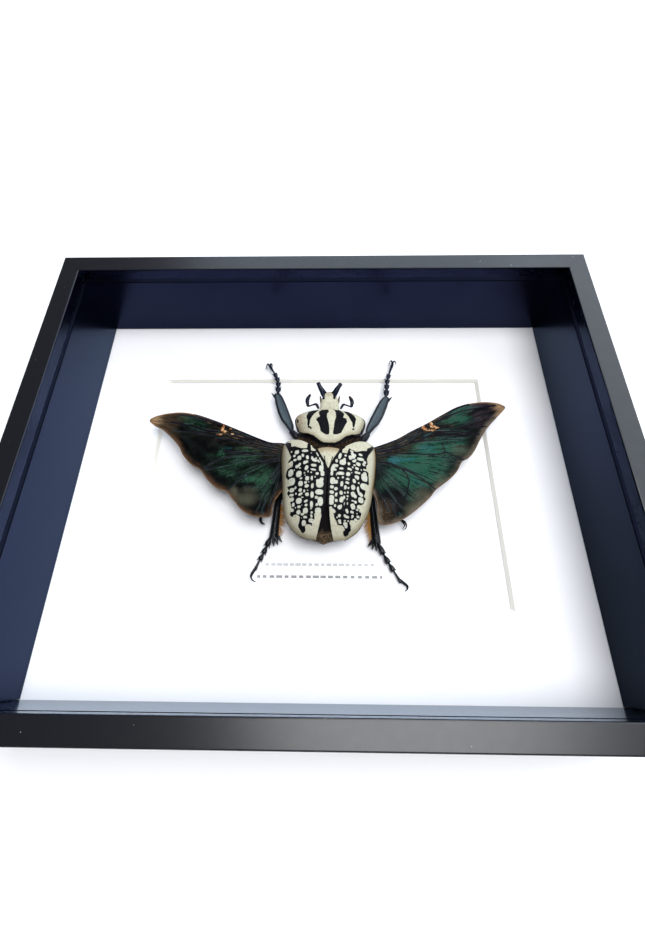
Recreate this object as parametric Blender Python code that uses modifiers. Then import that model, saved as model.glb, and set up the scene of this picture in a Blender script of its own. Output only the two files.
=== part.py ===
"""A framed goliath beetle: a black box frame that lies on its back, with the spread beetle inside.

Lengths are in millimetres and are scaled to metres as each mesh is made. X runs across the frame,
Y to its top edge and Z out of its glass. The origin is on the rear plane, under the middle of the
frame. The beetle's head points to the frame's top edge.
"""

import math

import bmesh
import bpy
from mathutils import Matrix, Vector

MM = 0.001
GAP = 0.3

# The frame
FRAME_WIDTH = 267.0
FRAME_HEIGHT = 216.0
FRAME_DEPTH = 58.0
FACE_WIDTH = 9.5
LIP_THICKNESS = 5.7
WALL_THICKNESS = 5.5
EDGE_RADIUS = 0.6
MITRE_GAP = 0.1

# What lies in the frame, from the glass to the back
GLASS_TOP = FRAME_DEPTH - LIP_THICKNESS - GAP
GLASS_THICKNESS = 2.0
MAT_TOP = 15.0
MAT_THICKNESS = 1.4
WINDOW_HALF_WIDTH = 87.0
WINDOW_HALF_HEIGHT = 62.0
BOARD_TOP = MAT_TOP - MAT_THICKNESS - GAP
BOARD_THICKNESS = 4.7
BACK_TOP = BOARD_TOP - BOARD_THICKNESS - GAP
BACK_THICKNESS = 2.5
BACK_BOTTOM = BACK_TOP - BACK_THICKNESS

# The fittings on the back
POINT_LENGTH = 14.0
POINT_WIDTH = 6.0
POINT_THICKNESS = 0.6
POINT_BITE = 3.0
HANGER_LENGTH = 45.0
HANGER_WIDTH = 9.0
HANGER_THICKNESS = 0.8
HANGER_Y = 84.0
HANGER_TEETH = 12
TOOTH_WIDTH = 2.0
TOOTH_HEIGHT = 1.5
RIVET_RADIUS = 1.2
RIVET_HEAD_RADIUS = 2.4
RIVET_SPACING = 37.0
RIVET_HEAD_HEIGHT = 0.8
HOLE_SIDES = 12

# The beetle's midline: where it crosses y = 0, and its lean towards +X
BODY_X = 3.95
BODY_LEAN = math.radians(0.8)
WING_Z = 25.0
LEG_Z = 16.0
FORE_LEG_Z = 20.0


# Helpers

def clear_scene():
    for thing in list(bpy.data.objects):
        bpy.data.objects.remove(thing, do_unlink=True)


def collection(name):
    made = bpy.data.collections.new(name)
    bpy.context.scene.collection.children.link(made)
    return made


def finish(name, colour, roughness, metallic=0.0):
    made = bpy.data.materials.new(name)
    made.use_nodes = True
    shader = made.node_tree.nodes["Principled BSDF"]
    shader.inputs["Base Color"].default_value = (*colour, 1.0)
    shader.inputs["Roughness"].default_value = roughness
    shader.inputs["Metallic"].default_value = metallic
    return made


def piece(name, mesh, material, smooth=True):
    """An object in the specimen's collection from a bmesh in millimetres."""
    bmesh.ops.scale(mesh, vec=(MM, MM, MM), verts=mesh.verts)
    bmesh.ops.recalc_face_normals(mesh, faces=mesh.faces)
    data = bpy.data.meshes.new(name)
    mesh.to_mesh(data)
    mesh.free()
    if smooth:
        data.shade_smooth()
        data.set_sharp_from_angle(angle=math.radians(40))
    made = bpy.data.objects.new(name, data)
    data.materials.append(material)
    SPECIMEN.objects.link(made)
    return made


def as_cutter(made):
    """Moves an object among the cutters and the shapes that are joined to others."""
    SPECIMEN.objects.unlink(made)
    HELPERS.objects.link(made)
    made.hide_render = True
    made.display_type = 'WIRE'
    return made


def combine(made, other, operation):
    change = made.modifiers.new(f"{operation.lower()} {other.name}", 'BOOLEAN')
    change.operation = operation
    change.object = as_cutter(other)


def block(low, high):
    """A box between two corners."""
    mesh = bmesh.new()
    size = Vector(high) - Vector(low)
    centre = (Vector(high) + Vector(low)) / 2
    place = Matrix.Translation(centre) @ Matrix.Diagonal((*size, 1.0))
    bmesh.ops.create_cube(mesh, size=1.0, matrix=place)
    return mesh


def disc(radius, low, high, centre, sides=HOLE_SIDES):
    """An upright cylinder between two heights."""
    mesh = bmesh.new()
    place = Matrix.Translation((*centre, (low + high) / 2))
    bmesh.ops.create_cone(mesh, cap_ends=True, segments=sides, radius1=radius, radius2=radius,
                          depth=high - low, matrix=place)
    return mesh


def along(points, t):
    """The point at t, from 0 to 1 by length, on the smooth curve through the points."""
    points = [Vector(p) for p in points]
    lengths = [(b - a).length for a, b in zip(points, points[1:])]
    left = t * sum(lengths)
    i = 0
    while i < len(lengths) - 1 and left > lengths[i]:
        left -= lengths[i]
        i += 1
    f = min(left / lengths[i], 1.0)
    p1, p2 = points[i], points[i + 1]
    p0 = points[i - 1] if i > 0 else p1
    p3 = points[i + 2] if i + 2 < len(points) else p2
    return 0.5 * (2 * p1 + (p2 - p0) * f + (2 * p0 - 5 * p1 + 4 * p2 - p3) * f * f
                  + (3 * p1 - p0 - 3 * p2 + p3) * f ** 3)


def value_at(table, x):
    """The value at x in a table of (x, value) pairs, read straight between them."""
    for (x0, v0), (x1, v1) in zip(table, table[1:]):
        if x <= x1:
            return v0 + (v1 - v0) * max(0.0, (x - x0) / (x1 - x0))
    return table[-1][1]


def body_place(x, y):
    """A point of the beetle, given across and along its own midline, in the frame."""
    c, s = math.cos(BODY_LEAN), math.sin(BODY_LEAN)
    return BODY_X + x * c + y * s, y * c - x * s


def sheet(columns, rows, place):
    """A grid whose point (u, v), each from 0 to 1, goes where place says."""
    mesh = bmesh.new()
    bmesh.ops.create_grid(mesh, x_segments=columns, y_segments=rows, size=0.5)
    for vert in mesh.verts:
        vert.co = Vector(place(vert.co.x + 0.5, vert.co.y + 0.5))
    return mesh


def patch(u, v, front, rear, left, right):
    """The point (u, v) inside four edge curves; v runs from the rear edge to the front edge."""
    f, r, a, b = along(front, u), along(rear, u), along(left, v), along(right, v)
    corners = (Vector(left[0]) * (1 - u) * (1 - v) + Vector(right[0]) * u * (1 - v)
               + Vector(left[-1]) * (1 - u) * v + Vector(right[-1]) * u * v)
    return f * v + r * (1 - v) + a * (1 - u) + b * u - corners


def underside(mesh, drop):
    """Closes a sheet into a solid: its copy is moved by what drop gives for each point."""
    top = list(mesh.faces)
    made = bmesh.ops.extrude_face_region(mesh, geom=top, use_keep_orig=True)
    copies = [part for part in made["geom"] if isinstance(part, bmesh.types.BMVert)]
    for vert in copies:
        vert.co = Vector(drop(vert.co))
    return mesh


def sections(stations, sides, rings):
    """A closed body along Y. Each station is (y, half width, lowest z, highest z)."""
    mesh = bmesh.new()
    upright = Matrix.Rotation(math.radians(-90), 4, 'X')
    bmesh.ops.create_uvsphere(mesh, u_segments=sides, v_segments=rings, radius=1.0, matrix=upright)
    first, last = stations[0][0], stations[-1][0]
    for vert in mesh.verts:
        y = first + (last - first) * (vert.co.y + 1) / 2
        radius = math.hypot(vert.co.x, vert.co.z)
        across, height = (vert.co.x / radius, vert.co.z / radius) if radius > 1e-4 else (0, 0)
        half, low, high = (value_at([(s[0], s[k]) for s in stations], y) for k in (1, 2, 3))
        middle = (low + high) / 2
        blunt = min(1.0, 2.2 * radius) if radius > 1e-4 else 0.0
        vert.co = (across * half * blunt, y, middle + height * (high - low) / 2 * blunt)
    return mesh


def tube(points, radii, bevel_steps=2):
    """A bmesh tube through the points with a radius at each, from a curve with filled caps."""
    data = bpy.data.curves.new("tube", 'CURVE')
    data.dimensions = '3D'
    data.bevel_depth = 1.0
    data.bevel_resolution = bevel_steps
    data.use_fill_caps = True
    data.render_resolution_u = 0
    spline = data.splines.new('POLY')
    spline.points.add(len(points) - 1)
    for spot, place, radius in zip(spline.points, points, radii):
        spot.co = (*place, 1.0)
        spot.radius = radius
    return curve_to_bmesh(data)


def plate(outline, low, high):
    """A flat plate with the given outline, from a filled 2D curve, between two heights."""
    data = bpy.data.curves.new("plate", 'CURVE')
    data.dimensions = '2D'
    data.fill_mode = 'BOTH'
    data.extrude = (high - low) / 2
    spline = data.splines.new('POLY')
    spline.points.add(len(outline) - 1)
    for spot, place in zip(spline.points, outline):
        spot.co = (place[0], place[1], 0.0, 1.0)
    spline.use_cyclic_u = True
    mesh = curve_to_bmesh(data)
    bmesh.ops.translate(mesh, vec=(0, 0, (low + high) / 2), verts=mesh.verts)
    return mesh


def curve_to_bmesh(data):
    """The welded mesh of a curve, which is removed."""
    holder = bpy.data.objects.new("curve", data)
    bpy.context.scene.collection.objects.link(holder)
    bpy.context.view_layer.update()
    shape = bpy.data.meshes.new_from_object(holder.evaluated_get(bpy.context.evaluated_depsgraph_get()))
    mesh = bmesh.new()
    mesh.from_mesh(shape)
    bpy.data.objects.remove(holder, do_unlink=True)
    bpy.data.meshes.remove(shape)
    bmesh.ops.remove_doubles(mesh, verts=mesh.verts, dist=0.001)
    return mesh


# The frame

def rounded(corners, radius, steps=3):
    """A closed outline with each corner marked True cut round."""
    outline = []
    for i, (place, is_round) in enumerate(corners):
        here = Vector(place)
        if not is_round:
            outline.append(here)
            continue
        back = (Vector(corners[i - 1][0]) - here).normalized()
        ahead = (Vector(corners[(i + 1) % len(corners)][0]) - here).normalized()
        for k in range(steps + 1):
            t = k / steps
            outline.append(here + back * radius * (1 - t) ** 2 + ahead * radius * t ** 2)
    return outline


def rail(name, length, side, quarter_turns):
    """One mitred rail. Its section is extruded along X, and each end point slides in by its depth."""
    front_of_lip = FRAME_DEPTH - LIP_THICKNESS
    section = rounded([((0, 0), True), ((WALL_THICKNESS, 0), False),
                       ((WALL_THICKNESS, front_of_lip), False), ((FACE_WIDTH, front_of_lip), False),
                       ((FACE_WIDTH, FRAME_DEPTH), True), ((0, FRAME_DEPTH), True)], EDGE_RADIUS)
    mesh = bmesh.new()
    ring = [mesh.verts.new((-length / 2, -depth, z)) for depth, z in section]
    end = mesh.faces.new(ring)
    made = bmesh.ops.extrude_face_region(mesh, geom=[end], use_keep_orig=True)
    far = [part for part in made["geom"] if isinstance(part, bmesh.types.BMVert)]
    bmesh.ops.translate(mesh, vec=(length, 0, 0), verts=far)
    for vert in mesh.verts:
        slide = -vert.co.y + MITRE_GAP / math.sqrt(2)
        vert.co.x -= math.copysign(slide, vert.co.x)
    bmesh.ops.translate(mesh, vec=(0, side / 2, 0), verts=mesh.verts)
    turn = Matrix.Rotation(math.radians(90 * quarter_turns), 3, 'Z')
    bmesh.ops.rotate(mesh, matrix=turn, verts=mesh.verts)
    return piece(name, mesh, BLACK_LACQUER)


def point_places():
    """Where the eight points go: (x, y of the wall's inner face, quarter turns)."""
    wall_x = FRAME_WIDTH / 2 - WALL_THICKNESS
    wall_y = FRAME_HEIGHT / 2 - WALL_THICKNESS
    return [(-70, wall_y, 1), (70, wall_y, 1), (-70, -wall_y, 3), (70, -wall_y, 3),
            (-wall_x, -55, 2), (-wall_x, 55, 2), (wall_x, -55, 0), (wall_x, 55, 0)]


def point_shape(grow=0.0):
    """A flat steel point whose tip, at +X, is driven into the wall at x = 0."""
    half = POINT_WIDTH / 2 + grow
    tip = POINT_BITE + grow
    outline = [(-POINT_LENGTH + POINT_BITE - grow, -half), (0, -half), (tip, -half / 2),
               (tip, half / 2), (0, half), (-POINT_LENGTH + POINT_BITE - grow, half)]
    top = BACK_BOTTOM - GAP + grow
    return plate(outline, top - POINT_THICKNESS - 2 * grow, top)


def frame_rails():
    rails = {1: rail("rail_left", FRAME_HEIGHT, FRAME_WIDTH, 1),
             3: rail("rail_right", FRAME_HEIGHT, FRAME_WIDTH, 3),
             0: rail("rail_top", FRAME_WIDTH, FRAME_HEIGHT, 0),
             2: rail("rail_bottom", FRAME_WIDTH, FRAME_HEIGHT, 2)}
    for number, (x, y, turns) in enumerate(point_places(), start=1):
        place = Matrix.Translation((x, y, 0)) @ Matrix.Rotation(math.radians(90 * turns), 4, 'Z')
        tab, slot = point_shape(), point_shape(GAP)
        for mesh in (tab, slot):
            bmesh.ops.transform(mesh, matrix=place, verts=mesh.verts)
        piece(f"point_{number}", tab, STEEL, smooth=False)
        rail_turn = {0: 3, 1: 0, 2: 1, 3: 2}[turns]
        combine(rails[rail_turn], piece(f"slot_{number}", slot, STEEL, smooth=False), 'DIFFERENCE')


# What the frame holds

def case_filling():
    inner_x = FRAME_WIDTH / 2 - WALL_THICKNESS
    inner_y = FRAME_HEIGHT / 2 - WALL_THICKNESS
    lip_x = FRAME_WIDTH / 2 - FACE_WIDTH
    lip_y = FRAME_HEIGHT / 2 - FACE_WIDTH

    glass = block((-inner_x + 1, -inner_y + 1, GLASS_TOP - GLASS_THICKNESS),
                  (inner_x - 1, inner_y - 1, GLASS_TOP))
    piece("glass_pane", glass, GLASS, smooth=False)

    low, high = MAT_TOP + GAP, GLASS_TOP - GLASS_THICKNESS - GAP
    for name, sign in (("spacer_top", 1), ("spacer_bottom", -1)):
        ys = sorted((sign * lip_y, sign * (inner_y - GAP)))
        strip = block((-inner_x + GAP, ys[0], low), (inner_x - GAP, ys[1], high))
        piece(name, strip, BLACK_CARD, smooth=False)
    for name, sign in (("spacer_left", -1), ("spacer_right", 1)):
        xs = sorted((sign * lip_x, sign * (inner_x - GAP)))
        strip = block((xs[0], -lip_y + GAP, low), (xs[1], lip_y - GAP, high))
        piece(name, strip, BLACK_CARD, smooth=False)

    reach_x, reach_y = inner_x - 0.5, inner_y - 0.5
    mat = piece("window_mat", block((-reach_x, -reach_y, MAT_TOP - MAT_THICKNESS),
                                    (reach_x, reach_y, MAT_TOP)), WHITE_MAT, smooth=False)
    over = 0.5
    window = block((-1, -1, MAT_TOP - MAT_THICKNESS - over), (1, 1, MAT_TOP + over))
    for vert in window.verts:
        slope = vert.co.z - MAT_TOP
        vert.co.x *= WINDOW_HALF_WIDTH + slope
        vert.co.y *= WINDOW_HALF_HEIGHT + slope
    combine(mat, piece("window", window, WHITE_MAT, smooth=False), 'DIFFERENCE')

    piece("mount_board", block((-reach_x, -reach_y, BOARD_TOP - BOARD_THICKNESS),
                               (reach_x, reach_y, BOARD_TOP)), WHITE_BOARD, smooth=False)
    back = piece("back_board", block((-reach_x, -reach_y, BACK_BOTTOM),
                                     (reach_x, reach_y, BACK_TOP)), BROWN_BOARD, smooth=False)
    hanger_and_rivets(back)


def hanger_and_rivets(back):
    """The saw-tooth hanger on the back board, with teeth along its lower edge."""
    top = BACK_BOTTOM - GAP
    half = HANGER_LENGTH / 2
    upper, lower = HANGER_Y + HANGER_WIDTH / 2, HANGER_Y - HANGER_WIDTH / 2
    toothed = HANGER_TEETH * TOOTH_WIDTH / 2
    outline = [(half, lower), (half, upper), (-half, upper), (-half, lower)]
    for tooth in range(HANGER_TEETH):
        x = -toothed + tooth * TOOTH_WIDTH
        outline += [(x, lower), (x + TOOTH_WIDTH / 2, lower + TOOTH_HEIGHT)]
    outline.append((toothed, lower))
    hanger = piece("hanger", plate(outline, top - HANGER_THICKNESS, top), STEEL, smooth=False)
    for name, sign in (("left", -1), ("right", 1)):
        centre = (sign * RIVET_SPACING / 2, HANGER_Y)
        hole = disc(RIVET_RADIUS + GAP, top - 5, BACK_TOP + 1, centre)
        combine(hanger, piece(f"hanger_hole_{name}", hole, STEEL), 'DIFFERENCE')
        hole = disc(RIVET_RADIUS + GAP, BACK_BOTTOM - 1, BACK_TOP + 1, centre)
        combine(back, piece(f"board_hole_{name}", hole, STEEL), 'DIFFERENCE')
        head_top = top - HANGER_THICKNESS - GAP
        rivet = piece(f"hanger_rivet_{name}",
                      disc(RIVET_HEAD_RADIUS, head_top - RIVET_HEAD_HEIGHT, head_top, centre), STEEL)
        shank = disc(RIVET_RADIUS, head_top - RIVET_HEAD_HEIGHT / 2, BACK_TOP - GAP, centre)
        combine(rivet, piece(f"rivet_shank_{name}", shank, STEEL), 'UNION')


# The beetle's body

TRUNK = [(-34.7, 1.0, 23.5, 26.0), (-33.0, 5.0, 20.5, 27.5), (-28.0, 10.5, 16.0, 30.0),
         (-18.0, 14.0, 13.9, 34.0), (-5.0, 15.3, 13.7, 35.4), (5.0, 15.3, 13.7, 34.6),
         (11.0, 12.5, 14.2, 33.8), (14.5, 8.5, 17.0, 32.5), (18.6, 6.0, 20.0, 30.5)]

SEAM_SLOPE = 0.045

HEAD = [(30.3, 3.6, 26.0, 29.2), (32.5, 4.8, 25.6, 30.4), (35.0, 4.6, 26.0, 31.4),
        (39.0, 3.9, 27.5, 31.6), (41.5, 3.6, 28.8, 31.3), (43.3, 3.4, 29.4, 30.9)]
HORNS = {"left": [(-2.6, 38.3, 31.0), (-3.6, 41.0, 31.6), (-4.7, 43.8, 32.9), (-5.9, 46.3, 33.7),
                  (-6.1, 46.8, 33.8)],
         "right": [(2.5, 38.3, 31.0), (3.4, 41.0, 31.6), (4.5, 43.5, 32.9), (5.6, 45.6, 33.6),
                   (5.8, 46.0, 33.7)]}
HORN_RADII = (1.4, 1.25, 1.15, 1.0, 0.6)
SPIKE = [(3.6, 34.0, 29.0), (4.4, 37.0, 30.0), (4.9, 40.0, 30.4)]
SPIKE_RADII = (0.8, 0.6, 0.25)


def trunk():
    """The abdomen and the rear of the thorax. Its end follows the seam of the wing cases."""
    mesh = sections(TRUNK, 20, 14)
    for vert in mesh.verts:
        aside = SEAM_SLOPE * min(0.0, vert.co.y)
        vert.co.x, vert.co.y = body_place(vert.co.x + aside, vert.co.y)
    piece("trunk", mesh, DARK_BROWN)


def head():
    """The head, with its forked horn and the two short spikes beside it."""
    mesh = sections(HEAD, 16, 10)
    for vert in mesh.verts:
        vert.co.x, vert.co.y = body_place(vert.co.x, vert.co.y)
    made = piece("head", mesh, IVORY)
    for side, sign in (("left", -1), ("right", 1)):
        horn = [(*body_place(x, y), z) for x, y, z in HORNS[side]]
        arm = tube(horn, HORN_RADII)
        combine(made, piece(f"horn_{side}", arm, BLACK_SHELL), 'UNION')
        spike = [(*body_place(x * sign, y), z) for x, y, z in SPIKE]
        thorn = tube(spike, SPIKE_RADII, bevel_steps=1)
        combine(made, piece(f"spike_{side}", thorn, BLACK_SHELL), 'UNION')


# The shield's edges, across and along its own midline: half the front edge, one side and half the
# rear edge. Its crown is a table of heights along it, and its widths are halved.
SHIELD_FRONT = [(0, 32.2), (5.3, 32.0), (10.3, 31.6)]
SHIELD_SIDE = [(15.0, 18.8), (16.8, 22.9), (17.7, 26.4), (16.9, 29.0), (14.2, 30.6), (10.3, 31.6)]
SHIELD_REAR = [(0, 10.6), (2.6, 10.7), (5.0, 11.8), (7.9, 14.2), (10.8, 15.9), (13.0, 16.9),
               (15.0, 18.8)]
SHIELD_CROWN = [(10.0, 36.2), (15.0, 37.6), (20.0, 37.8), (26.0, 35.8), (30.0, 33.2), (32.2, 31.7)]
SHIELD_HALF_WIDTH = [(10.0, 15.6), (19.0, 15.6), (22.9, 17.1), (26.4, 18.0), (29.2, 17.4),
                     (30.8, 14.9), (32.2, 10.8)]
SHIELD_RIM_Z = 27.5
SHIELD_EDGE = 0.7
SHIELD_LEAN = math.radians(2.2)
SHIELD_SHIFT = 0.3
THORAX_REAR = 20.0
THORAX_FRONT = 29.5
THORAX_DEPTH = 10.5


def both_sides(half):
    """A whole edge from the half that starts on the midline."""
    return [(-x, y) for x, y in reversed(half[1:])] + list(half)


def shield_height(x, y):
    side = min(1.0, abs(x) / value_at(SHIELD_HALF_WIDTH, y))
    crown = value_at(SHIELD_CROWN, y)
    return SHIELD_RIM_Z + (crown - SHIELD_RIM_Z) * (1 - side ** 2.6) ** 0.6


def pronotum():
    """The shield and the part of the thorax that it covers, one solid."""
    front = both_sides(SHIELD_FRONT)
    rear = both_sides(SHIELD_REAR)
    left = [(-x, y) for x, y in SHIELD_SIDE]

    def on_shield(u, v):
        x, y = patch(u, v, front, rear, left, SHIELD_SIDE)
        return x, y, shield_height(x, y)

    def below(spot):
        depth = (min(1.0, max(0.0, (spot.y - THORAX_REAR) / 1.5))
                 * min(1.0, max(0.0, (THORAX_FRONT - spot.y) / 3.0)))
        side = min(1.0, abs(spot.x) / 17.8)
        keel = THORAX_DEPTH * depth * (1 - side ** 0.9)
        thin = spot.z - SHIELD_EDGE
        return spot.x, spot.y, thin * (1 - depth) + min(thin, SHIELD_RIM_Z - 0.8 - keel) * depth

    mesh = underside(sheet(16, 10, on_shield), below)
    bmesh.ops.rotate(mesh, matrix=Matrix.Rotation(-SHIELD_LEAN, 3, 'Z'), verts=mesh.verts,
                     cent=(0, 24, 0))
    for vert in mesh.verts:
        vert.co.x, vert.co.y = body_place(vert.co.x + SHIELD_SHIFT, vert.co.y)
    piece("pronotum", mesh, IVORY)


# The wing cases: crown height along them, and the outline of the right one
CASE_CROWN = [(-34.0, 26.6), (-31.5, 29.4), (-27.0, 33.0), (-20.0, 36.2), (-8.0, 38.6), (2.0, 39.0),
              (9.0, 37.6), (13.5, 35.0), (16.0, 32.0)]
CASE_RIM_Z = 26.0
CASE_THICKNESS = 0.8
CASE_OUTER = [(10.8, -32.9), (15.6, -28.3), (19.3, -18.3), (22.3, -5.0), (23.1, 6.5), (22.4, 13.0)]
CASE_FRONT = [(5.4, 6.6), (10.5, 10.8), (14.5, 13.4), (18.5, 14.2), (22.4, 13.0)]
CASE_INNER = {"left": [(4.7, -33.3), (3.6, -29.7), (2.2, -24.7), (1.1, -18.8), (0.6, -13.4),
                       (0.35, -8.0), (0.25, -3.4)],
              "right": [(2.7, -33.6), (1.8, -30.5), (0.8, -25.2), (0.1, -18.8), (0.0, -13.4),
                        (0.1, -8.0), (0.25, -3.4)]}
CASE_FRONT_LIFT = {"left": 1.4, "right": 0.0}
SCUTELLUM_SIDE = [(0.25, -3.4), (2.2, 0.6), (5.4, 6.6)]


def case_half_width(y):
    return value_at([(-34.0, 7.0), (-32.9, 11.0), (-28.3, 15.7), (-18.3, 19.4), (-5.0, 22.4),
                     (6.5, 23.15), (13.0, 22.5), (16.0, 21.5)], y)


def case_height(x, y):
    side = min(1.0, abs(x) / case_half_width(y))
    crown = value_at(CASE_CROWN, y)
    return CASE_RIM_Z + (crown - CASE_RIM_Z) * (1 - side ** 2.8) ** 0.55


def wing_case(side, sign):
    """One wing case: a domed shell between the seam, the scutellum, the front edge and the rim."""
    seam = CASE_INNER[side]
    inner = seam[:-1] + SCUTELLUM_SIDE
    lift = CASE_FRONT_LIFT[side]

    def on_case(u, v):
        x, y = patch(u, v, CASE_FRONT, [seam[0], CASE_OUTER[0]], inner, CASE_OUTER)
        y += lift * u * max(0.0, 3 * v - 2)
        return x, y, case_height(x, y)

    mesh = sheet(9, 14, on_case)
    for vert in mesh.verts:
        vert.co.x, vert.co.y = body_place(sign * vert.co.x, vert.co.y)
    bmesh.ops.recalc_face_normals(mesh, faces=mesh.faces)
    made = piece(f"wing_case_{side}", mesh, IVORY)
    if made.data.polygons[0].normal.z < 0:
        made.data.flip_normals()
    wall = made.modifiers.new("shell", 'SOLIDIFY')
    wall.thickness = CASE_THICKNESS * MM
    wall.offset = -1.0


def scutellum():
    """The small triangle between the wing cases, set on the thorax."""
    edge = [(0, -2.9), (1.75, 0.6), (4.9, 6.6), (4.4, 7.4), (0, 7.9)]
    outline = [(-x, y) for x, y in reversed(edge[1:-1])]
    outline = edge[:-1] + [edge[-1]] + outline
    outline = [body_place(x, y) for x, y in outline]
    mesh = plate(outline, 35.4, 38.0)
    for vert in mesh.verts:
        x, y = vert.co.x - BODY_X, vert.co.y
        if vert.co.z > 36.5:
            vert.co.z = case_height(x, y) - 0.3
    piece("scutellum", mesh, IVORY, smooth=False)


# The flying wings, each between its leading edge and its trailing edge

WING_LEFT_LEAD = [(-12.4, 14.6), (-18.8, 16.4), (-25.0, 16.8), (-31.9, 19.4), (-39.9, 22.9),
                  (-49.1, 27.0), (-56.3, 30.0), (-64.0, 32.7), (-71.1, 34.1), (-78.0, 33.8),
                  (-84.6, 32.2), (-88.0, 30.2)]
WING_LEFT_TRAIL = [(-16.6, -7.0), (-21.6, -15.0), (-22.6, -21.4), (-27.5, -21.9), (-31.3, -21.4),
                   (-36.3, -18.7), (-40.5, -14.2), (-44.4, -9.6), (-49.5, -7.6), (-54.4, -3.4),
                   (-58.5, 1.7), (-63.4, 4.7), (-68.1, 9.7), (-71.5, 15.3), (-79.5, 23.2),
                   (-85.2, 26.4), (-88.2, 29.0)]
WING_RIGHT_LEAD = [(20.4, 12.4), (27.1, 14.4), (37.4, 18.4), (45.4, 23.1), (53.4, 27.4),
                   (61.6, 32.5), (70.0, 37.4), (78.1, 39.8), (85.1, 40.5), (91.2, 39.7),
                   (94.4, 38.0)]
WING_RIGHT_TRAIL = [(22.8, -6.0), (26.6, -14.0), (27.2, -24.4), (33.0, -24.9), (39.3, -22.1),
                    (45.2, -17.8), (51.4, -12.3), (55.1, -7.9), (60.9, -3.5), (65.8, 1.3),
                    (68.9, 6.5), (72.1, 8.4), (75.6, 12.3), (79.5, 19.0), (84.0, 25.4),
                    (89.4, 31.3), (93.2, 35.2), (94.8, 37.2)]
WING_FOLDS = 7
FOLD_HEIGHT = 0.35
MEMBRANE = 0.35
LEADING_VEIN = 0.75


def wing(name, lead, trail, root):
    """A pleated membrane that thickens to a strong vein along its leading edge."""

    def on_wing(u, v):
        x, y = along(trail, u) * (1 - v) + along(lead, u) * v
        away = min(1.0, math.hypot(x - root[0], y - root[1]) / 25.0)
        pleat = math.cos(v * WING_FOLDS * math.pi) * FOLD_HEIGHT * away * min(1.0, 4 * v * (1 - v) + 0.3)
        rise = LEADING_VEIN * max(0.0, 1 - (1 - v) * 12) * away * (1 - 0.7 * u)
        return x, y, WING_Z + pleat + rise

    def below(spot):
        return spot.x, spot.y, min(spot.z, WING_Z + 0.6) - MEMBRANE

    piece(name, underside(sheet(24, 10, on_wing), below), DARK_GREEN)


# Legs, antennae and their feet

FORE_SHIN = [(-1.4, -0.8), (2.3, -2.3), (5.0, -2.45), (10.4, -2.5), (16.0, -2.4), (21.6, -2.1),
             (24.0, -1.4), (25.2, -0.6), (25.2, 0.6), (24.6, 1.0), (26.1, 2.6), (25.6, 2.9),
             (23.6, 2.3), (21.0, 2.5), (18.4, 2.95), (13.1, 3.3), (7.4, 2.9), (4.1, 1.8), (0.2, 0.9)]


def laid_along(outline, base, tip, sign):
    """An outline given along and across a limb, laid on the line from its base to its tip."""
    ahead = (Vector(tip) - Vector(base)).normalized()
    aside = Vector((ahead.y, -ahead.x)) * sign
    return [tuple(Vector(base) + ahead * a + aside * b) for a, b in outline]


def fore_leg(side, sign, thigh, knee, ankle):
    """The thigh, and the broad flat shin with its outer spine."""
    shin = plate(laid_along(FORE_SHIN, knee, ankle, sign), FORE_LEG_Z - 0.9, FORE_LEG_Z + 0.9)
    made = piece(f"fore_leg_{side}", shin, BLACK_SHELL)
    lift = [(*thigh[0], FORE_LEG_Z - 0.6), (*thigh[1], FORE_LEG_Z), (*knee, FORE_LEG_Z)]
    upper = tube(lift, (1.5, 2.0, 1.5))
    combine(made, piece(f"fore_thigh_{side}", upper, BLACK_SHELL), 'UNION')


def foot(name, route, radii, claws):
    """A jointed foot with two hooked claws."""
    made = piece(name, tube(route, radii, bevel_steps=1), BLACK_SHELL)
    for number, claw in enumerate(claws, start=1):
        hook = piece(f"{name}_claw_{number}", tube(claw, CLAW_RADII, bevel_steps=1), BLACK_SHELL)
        combine(made, hook, 'UNION')


CLAW_RADII = (0.5, 0.42, 0.3, 0.12)


def beads(joints, heights, thin, thick):
    """A foot's route and radii from its joints: each segment swells towards its far end."""
    spots, radii = [], []
    places = [Vector((*joint, z)) for joint, z in zip(joints, heights)]
    for i, (a, b) in enumerate(zip(places, places[1:])):
        wide = thick * (1 - 0.06 * i)
        for t, r in ((0.04, thin), (0.35, 0.75 * wide), (0.75, wide), (0.93, 0.8 * wide)):
            spots.append(tuple(a.lerp(b, t)))
            radii.append(r)
    return spots, radii


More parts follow.
